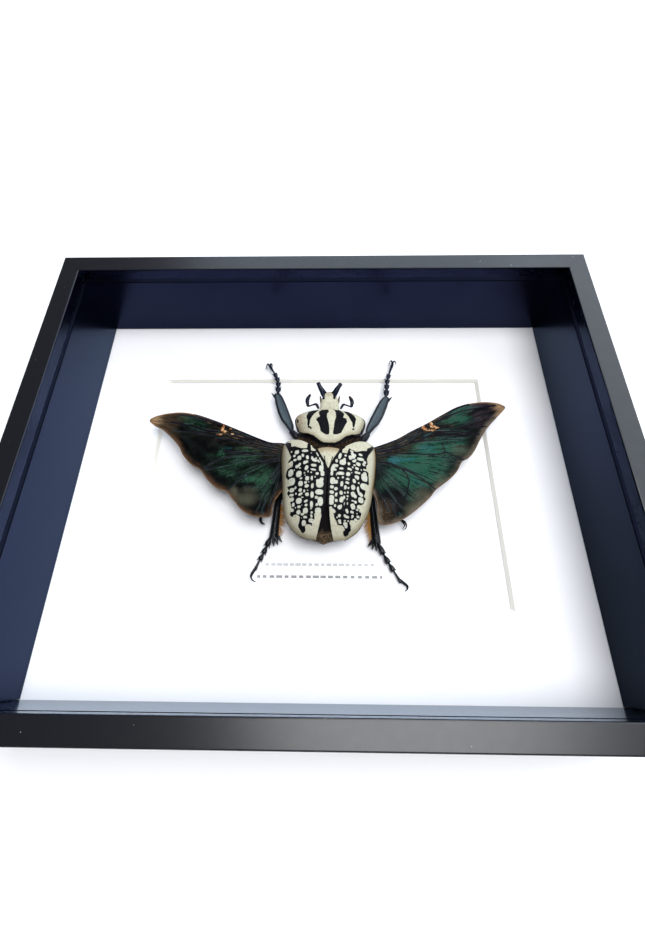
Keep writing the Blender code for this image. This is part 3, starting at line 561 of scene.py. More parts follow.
def black_shell_look(name, warm=0.0, blue=0.0):
    look = Look(name, Specular_IOR_Level=0.24 - 0.09 * blue)
    pits = look.cells(1.6).rise(0.0, 0.35)
    grain = look.noise(2.5, 3)
    tone = look.mix(grain, (0.002, 0.0025 + 0.001 * blue, 0.003 + 0.008 * blue),
                    (0.008, 0.009 + 0.003 * blue, 0.011 + 0.015 * blue))
    if warm:
        tone = look.mix(look.noise(0.4, 2).rise(0.5, 0.7) * warm, tone, (0.07, 0.022, 0.012))
    look.feed(Base_Color=tone, Roughness=0.16 + grain * 0.16, Normal=look.relief(pits, 0.06, 0.6))
    return look


def fore_shin_look():
    """Slate grey between black rims."""
    look = Look("slate and black shin", Specular_IOR_Level=0.25)
    grain = look.noise(1.8, 4, 0.6)
    inner = (look.own("rim") + (look.noise(0.8, 2) - 0.5) * 0.5).rise(0.95, 1.5)
    tone = look.mix(grain, (0.003, 0.004, 0.008), (0.009, 0.01, 0.016))
    slate = look.mix(look.noise(0.5, 3), (0.026, 0.04, 0.05), (0.06, 0.086, 0.1))
    look.feed(Base_Color=look.mix(inner, tone, slate), Roughness=0.3 + grain * 0.15,
              Normal=look.relief(grain, 0.05, 0.6))
    return look


def trunk_look():
    """Near black, and downy brown at its hind end."""
    look = Look("dark underbody", Specular_IOR_Level=0.05)
    _, y = look.xy()
    grain = look.noise(1.3, 4, 0.6)
    tone = look.mix(grain, (0.002, 0.002, 0.003), (0.007, 0.005, 0.005))
    downy = look.mix(grain.rise(0.3, 0.7), (0.02, 0.013, 0.009), (0.13, 0.09, 0.05))
    hind_end = (y + (look.noise(0.5, 3) - 0.5) * 4.0).rise(-28.5, -31.0)
    look.feed(Base_Color=look.mix(hind_end, tone, downy), Roughness=0.5 + grain * 0.2,
              Normal=look.relief(grain, 0.12, 0.7))
    return look


def hair_look(name, dark, light):
    look = Look(name, Specular_IOR_Level=0.4)
    look.feed(Base_Color=look.mix(look.noise(1.1, 3), dark, light), Roughness=0.4 + look.noise(3.0) * 0.2)
    return look


def wing_look():
    """A dark membrane that glints green and teal, with purple-black veins and a tan rim."""
    look = Look("iridescent wing membrane", Specular_IOR_Level=0.04)
    out, turn, costa, rim = (look.own(name) for name in ("out", "turn", "costa", "rim"))

    def rays(across, outward, detail):
        """Noise drawn out along the lines from the wing's root."""
        spot = look.node('ShaderNodeCombineXYZ', {}, {0: turn * across, 1: out * outward})
        return look.noise(1.0, detail, 0.6, spot)

    def lined(dark, light):
        """A colour that changes from one fine line to the next."""
        return look.mix(fine, dark, light)

    streak, fine = rays(26.0, 5.0, 4), rays(110.0, 12.0, 3)
    cloud = look.noise(0.22, 4, 0.6)
    mottle = look.noise(1.3, 4, 0.7)
    x, y = look.xy()
    left = x.rise(5, -5)
    shade = (streak.rise(0.35, 0.65) * (0.75 - left * 0.35) + (cloud - 0.5) * 0.8
             + mottle.rise(0.3, 0.7) * 0.6)
    green = (look.own("green") * shade * (1.25 - left * 0.15)).least(1.2)
    teal = (look.own("teal") * shade * 1.2).least(1.0)
    dusk = (look.own("dusk") * (0.55 + cloud * 0.9)).rise(0.1, 1.2)
    corner = x.rise(37, 31) * x.rise(20, 22) * (y + (mottle - 0.5) * 6).rise(-11, -17)
    gold_dust = look.cells(1.1).rise(0.22, 0.08) * corner
    purple = (out + (cloud - 0.5) * 0.3).rise(0.7, 0.86) * (1 - left) * streak.rise(0.4, 0.6)
    umber = (out + (cloud - 0.5) * 0.15 + (streak - 0.5) * 0.2).rise(0.74, 0.9) * left
    broad_rim = (rim + (cloud - 0.5) * 2.6).rise(3.2, 0.4) * look.noise(0.15, 3).rise(0.3, 0.6)
    thin_rim = (rim + (mottle - 0.5) * 0.8).rise(0.75, 0.3)
    tip = (out + (cloud - 0.5) * 0.1 + (streak - 0.5) * 0.14).rise(0.89, 1.0)
    thread = fine.rise(0.53, 0.64) * costa.rise(12.0, 2.0) * out.rise(0.8, 0.35)
    vein = look.own("vein") + (cloud - 0.5) * 0.15
    fold = (streak - 0.5).size().rise(0.03, 0.008) * out.rise(0.1, 0.25) * green.rise(0.15, 0.6)
    speck = (look.own("speck") + (look.noise(1.6, 3) - 0.5) * 1.4).rise(-0.1, 0.25)
    tone = look.layers(
        look.mix(cloud.rise(0.4, 0.7), (0.0006, 0.001, 0.001), (0.004, 0.006, 0.0045)),
        (green.rise(0.05, 1.1), look.mix(left, lined((0.004, 0.03, 0.018), (0.014, 0.094, 0.057)),
                                         lined((0.006, 0.027, 0.013), (0.022, 0.088, 0.045)))),
        (teal.rise(0.1, 1.1), lined((0.004, 0.055, 0.058), (0.018, 0.12, 0.14))),
        (dusk * 0.8, lined((0.035, 0.04, 0.025), (0.095, 0.09, 0.06))),
        (corner * 0.85, look.mix(mottle, (0.004, 0.003, 0.002), (0.045, 0.026, 0.012))),
        (gold_dust * 0.8, (0.4, 0.24, 0.1)),
        (purple * 0.7, lined((0.012, 0.006, 0.012), (0.06, 0.03, 0.045))),
        (umber * 0.85, lined((0.012, 0.008, 0.005), (0.07, 0.045, 0.025))),
        (broad_rim * 0.9, look.mix(left, lined((0.07, 0.06, 0.045), (0.15, 0.125, 0.09)),
                                   lined((0.03, 0.014, 0.007), (0.09, 0.045, 0.022)))),
        (thin_rim * 0.85, (0.13, 0.08, 0.045)),
        (tip, lined((0.16, 0.09, 0.045), (0.42, 0.28, 0.16))),
        (costa.rise(1.3, 0.5) * out.rise(0.95, 0.7), (0.008, 0.009, 0.015)),
        (costa.rise(0.9, 0.3) * out.rise(0.45, 0.65) * 0.85, (0.19, 0.095, 0.04)),
        (thread * cloud.rise(0.35, 0.6) * 0.75, (0.2, 0.12, 0.06)),
        # Painted highlight: a paler band just beside each vein
        (vein.rise(-0.5, -0.2) * streak.rise(0.4, 0.6) * 0.55, (0.04, 0.065, 0.06)),
        (fold * 0.5, (0.05, 0.095, 0.07)),
        (vein.rise(-0.14, 0.02), look.mix(cloud, (0.001, 0.0006, 0.0015), (0.009, 0.005, 0.014))),
        # Painted glints: bright orange specks
        (speck, look.mix(look.noise(1.2, 2).rise(0.45, 0.62), (0.28, 0.1, 0.03), (0.68, 0.45, 0.25))))
    look.feed(Base_Color=tone, Roughness=0.3 + cloud * 0.25 - green.least(1.0) * 0.08,
              Normal=look.relief(fine * 0.5 + streak * 0.5, 0.16, 0.6))
    return look


# Wing cases: the crown as (y, height), and the edges as (distance from the midline, y)
CASE_CROWN = [(-34.0, 26.6), (-31.5, 29.4), (-27.0, 33.0), (-20.0, 36.2), (-8.0, 38.6), (2.0, 39.0),
              (9.0, 37.6), (13.5, 35.0), (16.0, 32.0)]
CASE_OUTER = {
    "left": [(9.0, -32.7), (12.6, -31.3), (15.4, -29.2), (17.8, -26.5), (19.6, -22.8), (20.7, -18.2),
             (21.4, -12.0), (22.1, -4.0), (22.9, 4.0), (23.0, 9.0), (22.4, 13.0)],
    "right": [(8.0, -33.0), (11.2, -31.0), (14.0, -28.6), (16.3, -25.2), (18.4, -21.0), (19.8, -16.5),
              (20.9, -10.5), (22.0, -4.0), (22.8, 3.5), (22.9, 9.0), (22.4, 13.0)]}
CASE_FRONT = [(5.4, 6.6), (10.5, 10.8), (14.5, 13.4), (18.5, 14.2), (22.4, 13.0)]
CASE_INNER = {"left": [(4.7, -33.3), (3.6, -29.7), (2.2, -24.7), (1.1, -18.8), (0.6, -13.4),
                       (0.35, -8.0), (0.25, -3.4)],
              "right": [(2.7, -33.6), (1.8, -30.5), (0.8, -25.2), (0.1, -18.8), (0.0, -13.4),
                        (0.1, -8.0), (0.25, -3.4)]}
SCUTELLUM_SIDE = [(0.25, -3.4), (2.2, 0.6), (5.4, 6.6)]
CASE_RIM_Z = 26.0
CASE_THICKNESS = 0.8
CASE_FRONT_LIFT = {"left": 1.4, "right": 0.0}

# The black net on each wing case, and the pale cells in it (x, y, half width, half height, lean)
CASE_CELLS = {"left": [
    (-3.3, 7.6, 0.93, 1.77, 0), (-13.4, 7, 0.53, 0.64, 0), (-6.9, 6.3, 1.79, 0.83, -5),
    (-10.7, 6.1, 1.18, 1.26, 0), (-3.9, 4.8, 0.5, 0.35, 0), (-11.8, 4.3, 0.82, 0.77, 0),
    (-7.8, 3.9, 0.69, 1.16, 15), (-1, 3.8, 0.46, 1.62, 22), (-9.4, 2.7, 1.11, 1.32, 0),
    (-5.6, 2.5, 0.82, 1.2, 10), (-3.4, 2.1, 0.6, 1.18, 0), (-11.4, 2, 1.03, 0.77, 0),
    (-1.6, 1.9, 0.49, 0.57, 0), (0.3, 1.1, 0.45, 1.61, 22), (-2.3, 0.9, 1.49, 0.85, -25),
    (-13.3, 0.4, 1.04, 1.74, 0), (-0.5, 0.3, 0.56, 1.17, 28), (-6.3, 0.2, 1.36, 0.87, 12),
    (-6.9, 0, 0.72, 0.95, 0), (-9.2, -0.8, 0.73, 1.25, -22), (1.2, -1, 0.59, 1.5, 12),
    (-10.2, -1.4, 1.15, 0.95, 20), (-2.6, -1.6, 1.57, 0.79, -10), (-8.9, -2.4, 0.58, 0.49, 0),
    (-5.9, -2.6, 0.89, 1.35, -20), (-11.6, -2.9, 0.42, 0.53, 0), (0.8, -3.2, 1.18, 1.67, 0),
    (-2.8, -3.7, 1.6, 0.6, -12), (-13.3, -3.9, 1.38, 1.9, 0), (-5.2, -4.5, 0.42, 0.82, 0),
    (-6.8, -5, 0.5, 0.52, 0), (-3.7, -5, 0.47, 0.46, 0), (-9.4, -5.2, 1.42, 1.65, 0),
    (-1, -5.7, 0.86, 0.74, 0), (1.4, -5.7, 1, 1.44, 0), (-6.5, -6.2, 0.46, 0.4, 0),
    (-1.9, -7.2, 0.43, 0.55, 0), (-8.3, -7.4, 0.82, 0.55, 10), (-5.5, -7.7, 1.02, 1.12, 0),
    (-3.4, -7.7, 0.62, 1.39, -3), (-12.9, -8.2, 1.94, 1.89, 0), (1, -8.4, 1.03, 0.99, 0),
    (-0.9, -9.1, 0.69, 1.03, 0), (-4.8, -9.4, 0.42, 0.41, 0), (-6.2, -9.6, 0.77, 0.72, 0),
    (-8.5, -9.8, 1.14, 1.37, 0), (0.2, -10.2, 1.75, 2.01, 0), (-5.7, -11.2, 1.15, 0.85, 10),
    (-3.1, -11.2, 0.72, 1.4, -5), (-10.8, -11.4, 0.6, 0.83, -15), (-12.5, -12.1, 1.3, 1.11, -10),
    (-8.6, -12.7, 0.89, 0.92, -20), (-5.2, -13.1, 0.38, 0.46, 0), (-6.7, -13.3, 0.53, 0.83, -10),
    (0, -14, 1.96, 1.28, -4), (-10.5, -14.1, 0.5, 0.64, 0), (-12.6, -14.3, 1.35, 0.7, -15),
    (-8.4, -14.5, 1.27, 0.7, 18), (-5.4, -14.9, 0.98, 0.92, 15), (-3.2, -15.1, 0.86, 1.65, 0),
    (-7.6, -16, 0.88, 0.4, -10), (-12.6, -16.3, 1.35, 1.02, 0), (-1.2, -16.4, 0.92, 0.77, 0),
    (-9.1, -17.4, 1.46, 1.39, 0), (-5.9, -17.8, 1.13, 0.69, 32), (0.5, -18.1, 1.32, 2.14, 0),
    (-11.7, -18.8, 0.78, 1.09, -5), (-3.4, -19.3, 0.78, 1.74, 0), (-7.7, -19.4, 0.34, 0.36, 0),
    (-1, -19.5, 0.77, 0.72, 0), (-5.8, -19.5, 0.79, 0.68, 12), (-9, -20, 0.97, 0.7, 0),
    (-10.6, -20.2, 0.36, 0.5, 0), (-12.3, -20.9, 1.19, 0.83, -20), (-3.6, -21, 0.46, 0.5, 0),
    (-6.1, -21.8, 1.24, 1.27, 0), (-0.5, -22.1, 1.47, 1.5, 0), (-9.2, -22.2, 1.09, 1.04, 20),
    (-3.3, -22.7, 0.7, 0.6, 0), (-7.4, -23.2, 1.06, 0.6, 12), (-5.5, -23.3, 0.37, 0.34, 0),
    (-1.8, -23.4, 0.55, 0.43, 0), (-3.4, -24.1, 0.59, 0.84, 20), (-6.2, -24.4, 1.17, 0.64, 0),
    (-10.3, -24.4, 1.84, 1.34, -20), (-0.5, -24.4, 1.69, 1.84, 0), (-7.8, -24.7, 0.38, 0.25, 0),
    (-3.4, -25.9, 1.41, 0.97, -10), (-6.8, -26.7, 1.06, 1.25, 0), (-1.6, -26.9, 1.7, 1.7, 0),
    (-4.9, -28.2, 1.64, 1.07, 0),
], "right": [
    (11.9, 7.9, 1.44, 2.43, 0), (14.7, 6, 1.27, 0.56, -18), (18.8, 4.8, 1.17, 0.73, -8),
    (15.1, 4.5, 0.8, 1.29, 25), (16.1, 3.9, 0.77, 0.94, 0), (11.8, 3.4, 0.67, 0.73, -15),
    (9.3, 3.1, 0.81, 1.93, -12), (15.3, 2.9, 1.08, 0.98, 30), (14.1, 2.5, 1, 1.27, 20),
    (18.8, 2.4, 1.85, 0.93, 0), (16.4, 1.6, 0.47, 0.57, 0), (20.7, 1.3, 0.86, 0.84, 0),
    (11.3, 1.1, 0.74, 1.25, 0), (15.7, 0.9, 1.04, 0.76, 20), (7.8, 0.6, 0.7, 1.06, 0),
    (20.3, 0, 0.85, 0.76, -30), (10.5, -0.1, 1.61, 1.43, 0), (17.7, -0.3, 1.28, 0.98, -15),
    (13.3, -0.7, 0.71, 0.86, 0), (15.8, -1.1, 0.72, 0.56, 0), (7.7, -1.9, 0.83, 0.86, 0),
    (15, -2.2, 0.5, 0.56, 0), (20.8, -2.4, 1.21, 0.53, 0), (17, -2.6, 1.01, 0.78, -10),
    (19, -2.8, 0.41, 0.6, 0), (6.1, -3, 0.97, 2.42, -18), (13.1, -3.1, 0.7, 0.67, 0),
    (9.9, -3.2, 1.28, 0.67, 0), (14, -3.4, 0.81, 0.67, -35), (7.1, -3.8, 0.69, 0.63, 0),
    (20.7, -4.4, 0.93, 1.12, 0), (16.8, -4.5, 1.19, 0.7, -5), (18, -4.6, 0.62, 0.67, 0),
    (14.5, -4.9, 0.46, 0.44, 0), (9.5, -5.5, 1.93, 0.88, 0), (5.5, -5.6, 0.76, 1.22, 0),
    (12.9, -5.7, 1.05, 1.1, -20), (7.7, -6.1, 0.45, 0.73, 0), (20.4, -6.1, 1.61, 2, 0),
    (16.8, -6.6, 1.18, 0.87, -10), (17.2, -7.2, 0.76, 0.79, 0), (10.5, -7.4, 0.66, 0.62, 0),
    (8.4, -7.7, 0.55, 0.58, 0), (12.7, -8, 1.04, 0.67, -8), (15.6, -8.6, 0.85, 1.13, 20),
    (5.9, -9, 1.3, 1.71, 0), (17.7, -9.3, 0.54, 0.58, 0), (7.4, -9.5, 0.99, 0.99, 0),
    (12.5, -9.7, 1.14, 0.68, -22), (10, -10.3, 0.76, 1.36, -8), (20.5, -10.3, 2.27, 1.62, 0),
    (15.1, -11.5, 1.02, 1.29, 10), (5.6, -11.8, 0.99, 0.85, 0), (11.6, -11.8, 0.69, 1.12, -10),
    (13, -12, 0.59, 0.58, 0), (17.3, -12, 0.68, 1.35, 0), (7.4, -12.6, 0.96, 0.85, 15),
    (17.4, -12.7, 0.62, 1.28, 10), (12.7, -14, 0.49, 0.77, 0), (5.5, -14.1, 1.14, 0.84, -10),
    (18.5, -14.1, 1.43, 0.95, -30), (11.3, -14.2, 0.48, 0.58, 0), (9.7, -14.3, 0.85, 1.06, 0),
    (15.1, -14.6, 1.14, 1.28, 20), (7.5, -15.1, 0.66, 1.1, -10), (16, -15.4, 0.84, 0.95, 20),
    (12.6, -15.6, 0.67, 0.47, -15), (11, -16.3, 0.63, 1.02, 0), (18.6, -16.6, 1.36, 1.37, 0),
    (5.5, -16.7, 1.25, 1.46, 0), (12.4, -16.9, 0.41, 0.65, 0), (9.9, -17.2, 1.03, 1.45, -15),
    (14.9, -17.5, 1.17, 0.43, -12), (7.5, -17.7, 0.81, 0.8, 0), (16.1, -17.9, 0.77, 0.72, -30),
    (5.4, -18.5, 1.14, 1.27, 0), (12.5, -18.9, 0.41, 0.79, 0), (11.1, -19.1, 0.33, 1.08, -5),
    (17.9, -19.7, 1.3, 0.98, 0), (7, -19.9, 0.62, 0.78, 0), (14.9, -19.9, 1.13, 1.39, 15),
    (9.7, -20, 0.51, 0.86, 0), (9, -20.5, 1.03, 1, 25), (16.9, -21, 0.85, 0.5, 0),
    (18.4, -21.2, 0.72, 0.66, 0), (5.3, -21.3, 0.81, 1.34, 25), (10.7, -21.7, 0.29, 0.33, 0),
    (12.3, -22, 0.74, 1.17, 25), (6.4, -22.1, 1.21, 0.8, -40), (14.5, -22.2, 1.05, 0.67, -10),
    (16.8, -22.5, 0.46, 0.43, 0), (17.3, -23.7, 0.98, 0.6, 0), (11.3, -23.8, 0.74, 0.67, 0),
    (14.8, -23.8, 0.64, 0.67, 0), (8.9, -23.9, 0.73, 0.83, -30), (5.6, -23.9, 1.1, 0.93, 0),
    (12.2, -24.3, 1.37, 0.67, -12), (14.5, -24.5, 0.38, 0.47, 0), (7.9, -24.6, 0.44, 0.47, -20),
    (16.2, -25, 0.96, 0.67, 0), (5.5, -25.4, 1.47, 1, 0), (11.3, -25.9, 0.7, 0.53, 0),
    (12.8, -25.9, 0.56, 0.5, 0), (17, -25.9, 0.78, 0.67, 0), (9, -26.1, 0.81, 0.83, 0),
    (14.9, -26.5, 1.59, 1.17, 0), (6, -26.6, 1.58, 1.5, 0), (9.2, -26.8, 0.85, 0.5, 0),
    (11.6, -27.1, 1.22, 0.78, 0), (11.9, -28, 0.82, 0.81, 0), (8.2, -28.6, 1.66, 0.62, 0),
    (9.7, -28.7, 1.47, 0.92, 0),
]}
CASE_NET = {"left": [
    (-17.7, 15.8), (-15.8, 14.1), (-14.1, 12.9), (-13.7, 9.9), (-12.1, 9.9), (-10.3, 8.8), (-8.8, 8),
    (-7.1, 7.6), (-5.8, 7.8), (-5.8, 9.8), (-5.3, 10.6), (-4.5, 10), (-4.3, 7.9), (-4, 5.9), (-2, 5.7),
    (-1.7, 7), (-0.8, 6.7), (0.4, 4.6), (1.9, 1.3), (2.9, -1.4), (3, -6.2), (3, -10.6), (3.6, -14.3),
    (3.6, -21.4), (2.5, -26.4), (1, -30.3), (0, -31.6), (-0.6, -31.6), (0, -29.6), (0.4, -28),
    (1.1, -24.8), (0.2, -22.4), (-1.5, -22.9), (-1.1, -23.7), (-1.9, -24.2), (-2, -25.1), (-1.8, -26),
    (-2.3, -26.6), (-3.1, -26.9), (-3.2, -27.8), (-3.8, -27.6), (-5.3, -27.1), (-6.4, -27.8), (-6.2, -29.1),
    (-6.4, -29.9), (-7.2, -30.4), (-8, -29.8), (-9.1, -28.2), (-9.3, -27.6), (-8.7, -26), (-8.5, -24.6),
    (-10.2, -23.2), (-12.2, -23.6), (-13.1, -22.7), (-12.9, -21.5), (-12.4, -20), (-12.9, -17.6),
    (-13.4, -15.1), (-14.7, -13.1), (-14.4, -12.2), (-13.4, -12.4), (-14.8, -10.1), (-14, -10),
    (-14.8, -10.1), (-13.1, -10.1), (-14.6, -6.5), (-15.7, -4.7), (-15.5, -3.1), (-14.9, -1.6),
    (-13.8, -1.3), (-12.6, -1.1), (-12.8, 0.9), (-14.5, 1.6), (-14.7, 2.1), (-13.4, 3.2), (-13.3, 4.4),
    (-14.1, 6), (-15.2, 9.1), (-16.5, 12),
], "right": [
    (12.7, 4.6), (13.3, 6.7), (13.7, 7.5), (14.4, 6.8), (15.6, 6.6), (16.7, 5.8), (18.3, 6.3), (19.8, 7.2),
    (21.2, 7.4), (22.2, 7.9), (22.4, 9.4), (23.9, 10.7), (25.7, 13.1), (26.1, 12.7), (24.9, 9.6), (22.8, 6),
    (21.8, 3.5), (21.9, 2.3), (22, 0.6), (21.3, -0.2), (21.4, -1.7), (20.3, -2.9), (21.4, -2.6),
    (22.3, -3.4), (22.4, -6.8), (22.5, -8.4), (22, -9.1), (21.2, -8.7), (20.5, -11.6), (20.7, -12.4),
    (19.9, -14.8), (20.9, -15.5), (20.3, -16.3), (19.7, -17.9), (18.5, -18.7), (16.9, -19.7), (17.9, -20.4),
    (17.8, -20.9), (18.7, -21.9), (18.5, -22.9), (17.9, -24.4), (17, -24.9), (16.8, -25.9), (16.2, -26.1),
    (15.4, -25.3), (13.9, -25.4), (13.2, -26.5), (13.8, -27.4), (14, -29.3), (13.3, -29.9), (12.9, -30.9),
    (11.8, -31.7), (10.9, -31.2), (10.7, -30.2), (11.6, -29.3), (11, -28.4), (10.3, -27.6), (9.1, -27.7),
    (8.2, -27.4), (7.5, -25.7), (6.7, -24.6), (6.4, -22.8), (4.5, -20.4), (4.4, -20.8), (4.2, -23.1),
    (4.2, -26.4), (4.5, -28.8), (5.1, -31.9), (4.4, -31.9), (3.3, -28), (2.9, -23.1), (2.9, -14.3),
    (3.2, -8.8), (3.1, -10.6), (3.1, -5.3), (4.6, -2.5), (5.8, -0.2), (7.2, 3.4), (8.5, 5.6), (10.3, 6.7),
    (10.3, 4.8),
]}


# The shield: its edges across and along its own midline, its crown and its half width
SHIELD_FRONT = [(0, 32.2), (5.3, 32.0), (10.3, 31.6)]
SHIELD_SIDE = [(15.0, 18.8), (16.8, 22.9), (17.7, 26.4), (16.9, 29.0), (14.2, 30.6), (10.3, 31.6)]
SHIELD_REAR = [(0, 10.6), (2.6, 10.7), (5.0, 11.8), (7.9, 14.2), (10.8, 15.9), (13.0, 16.9),
               (15.0, 18.8)]
SHIELD_CROWN = [(10.0, 36.2), (15.0, 37.6), (20.0, 37.8), (26.0, 35.8), (30.0, 33.2), (32.2, 31.7)]
SHIELD_HALF_WIDTH = [(10.0, 15.6), (19.0, 15.6), (22.9, 17.1), (26.4, 18.0), (29.2, 17.4),
                     (30.8, 14.9), (32.2, 10.8)]
SHIELD_RIM_Z = 27.5
SHIELD_EDGE = 0.7
SHIELD_LEAN = math.radians(2.2)
SHIELD_MIDDLE_Y = 24
KEEL_DEPTH = 10.5
KEEL_HALF_WIDTH = 17.8
KEEL_REAR, KEEL_FRONT = 20.0, 29.5
SHIELD_SHIFT = 0.3

# How bold each black mark of the shield is, and its outline
SHIELD_MARKS = [
    (0.15, [
        (-0.7, 29.7), (0.6, 31.4), (3.6, 31.8), (4, 29.8), (3.2, 27.9), (3, 25.4), (3.6, 22.6), (4.1, 19.7),
        (4.3, 16.5), (4.1, 14.9), (3.3, 14.8), (1.9, 15.3), (0.4, 16.6), (-0.1, 19), (-0.8, 21.5),
        (-2, 23.6), (-1.2, 24.9), (0, 25.6), (-0.6, 27.6)]),
    (0.15, [
        (5.6, 32.8), (6.9, 31.6), (9.1, 31.5), (10.8, 29.7), (11.5, 27.9), (10.9, 25), (12.4, 24.5),
        (12.8, 22.6), (11.8, 20.2), (10.8, 17.9), (9.9, 15.9), (8, 15), (6.3, 14.9), (6.2, 15.7),
        (6.8, 19.7), (7, 22.6), (7.7, 25.1), (7.6, 28.5), (7.1, 30.8), (5.9, 32.5)]),
    (0.3, [
        (-5.7, 30.2), (-3.8, 31.1), (-1.3, 31.1), (-2.3, 29.6), (-3.5, 28), (-4.5, 25.7), (-5.3, 23.5),
        (-5.4, 21.4), (-5.6, 20.3), (-6, 21.6), (-5.9, 23.7), (-6.6, 26.1), (-6.4, 28)]),
    (0.3, [
        (11.6, 30.3), (13.6, 30.9), (15.2, 28.9), (16.4, 27.3), (17.1, 25.3), (16.6, 22.7), (16.2, 20.6),
        (15.8, 20.4), (15.6, 22.7), (14.8, 24.3), (13.7, 27), (12.5, 29)]),
    (0.1, [
        (-6, 20.2), (-5.1, 20.1), (-4, 18.8), (-4.4, 18.1), (-5.1, 19.2), (-5.9, 19.4)]),
    (0.1, [
        (15.3, 19), (16.2, 19.7), (16.3, 19.1), (15.5, 18.4)]),
    (0.1, [
        (-11.8, 26.8), (-11.2, 26.7), (-10.9, 24.6), (-11.6, 24.9)]),
    (0.0, [
        (-12.9, 30.4), (-11.9, 31.1), (-10.6, 29.8), (-11.6, 29.4), (-12.3, 29)]),
    (0.0, [
        (20, 27.8), (21.6, 27.6), (22.5, 26.9), (22.5, 24.9), (22.1, 25.7), (21.1, 26.8)])]


# The rest of the body
TRUNK = [(-34.7, 1.0, 23.5, 26.0), (-33.0, 5.0, 20.5, 27.5), (-28.0, 10.5, 16.0, 30.0),
         (-18.0, 14.0, 13.9, 34.0), (-5.0, 15.3, 13.7, 35.4), (5.0, 15.3, 13.7, 34.6),
         (11.0, 12.5, 14.2, 33.8), (14.5, 8.5, 17.0, 32.5), (18.6, 6.0, 20.0, 30.5)]
HEAD = [(30.3, 4.4, 26.0, 29.2), (32.5, 5.1, 25.6, 30.4), (34.0, 5.0, 25.8, 31.0), (36.4, 4.75, 26.2, 31.5),
        (39.0, 4.1, 27.0, 31.7), (40.6, 3.8, 27.8, 31.6), (42.0, 2.6, 28.6, 31.5), (43.2, 1.9, 29.5, 31.1)]
HORNS = {"left": [(1.45, 38.6, 31.3), (1.2, 40.1, 31.4), (0.95, 41.4, 31.6), (0.75, 42.6, 31.9),
                  (-0.1, 43.8, 32.6), (-0.95, 45.3, 33.3), (-1.45, 46.5, 33.6)],
         "right": [(6.75, 38.6, 31.3), (6.95, 39.9, 31.4), (7.2, 41.2, 31.6), (7.5, 42.3, 31.9),
                   (8.2, 43.4, 32.6), (9.35, 44.9, 33.3), (10.25, 45.9, 33.6)]}
SPIKE = [(4.0, 35.6, 29.2), (4.45, 38.2, 29.8), (4.95, 40.9, 30.2)]
STEM = [(5.6, 34.6, 28.2), (6.9, 36.9, 28.4), (8.4, 36.7, 28.4), (10.9, 35.9, 28.2),
        (11.6, 36.6, 28.1)]
CLUBS = {"left": [(10.9, 36.0, 28.1), (11.5, 38.4, 28.2), (11.3, 40.4, 28.4), (10.0, 42.6, 28.8)],
         "right": [(10.9, 36.0, 28.1), (11.4, 38.2, 28.2), (11.0, 39.9, 28.4), (10.0, 41.7, 28.8)]}


# The flying wings
WING_LEFT_LEAD = [(-12.4, 14.6), (-18.8, 16.4), (-25.0, 16.8), (-31.9, 19.4), (-39.9, 22.9),
                  (-49.1, 27.0), (-56.3, 30.0), (-64.0, 32.7), (-71.1, 34.1), (-78.0, 33.8),
                  (-84.6, 32.2), (-88.0, 30.2)]
WING_LEFT_TRAIL = [(-16.6, -7.0), (-21.6, -15.0), (-22.6, -21.4), (-27.5, -21.9), (-31.3, -21.4),
                   (-36.3, -18.7), (-40.5, -14.2), (-44.4, -9.6), (-49.5, -7.6), (-54.4, -3.4),
                   (-58.5, 1.7), (-63.4, 4.7), (-68.1, 9.7), (-71.5, 15.3), (-79.5, 23.2),
                   (-85.2, 26.4), (-88.2, 29.0)]
WING_RIGHT_LEAD = [(20.4, 12.4), (27.1, 14.4), (37.4, 18.4), (45.4, 23.1), (53.4, 27.4),
                   (61.6, 32.5), (70.0, 37.4), (78.1, 39.8), (85.1, 40.5), (91.2, 39.7),
                   (94.4, 38.0)]
WING_RIGHT_TRAIL = [(22.8, -6.0), (26.6, -14.0), (27.2, -24.4), (33.0, -24.9), (39.3, -22.1),
                    (45.2, -17.8), (51.4, -12.3), (55.1, -7.9), (60.9, -3.5), (65.8, 1.3),
                    (68.9, 6.5), (72.1, 8.4), (75.6, 12.3), (79.5, 19.0), (84.0, 25.4),
                    (89.4, 31.3), (93.2, 35.2), (94.8, 37.2)]
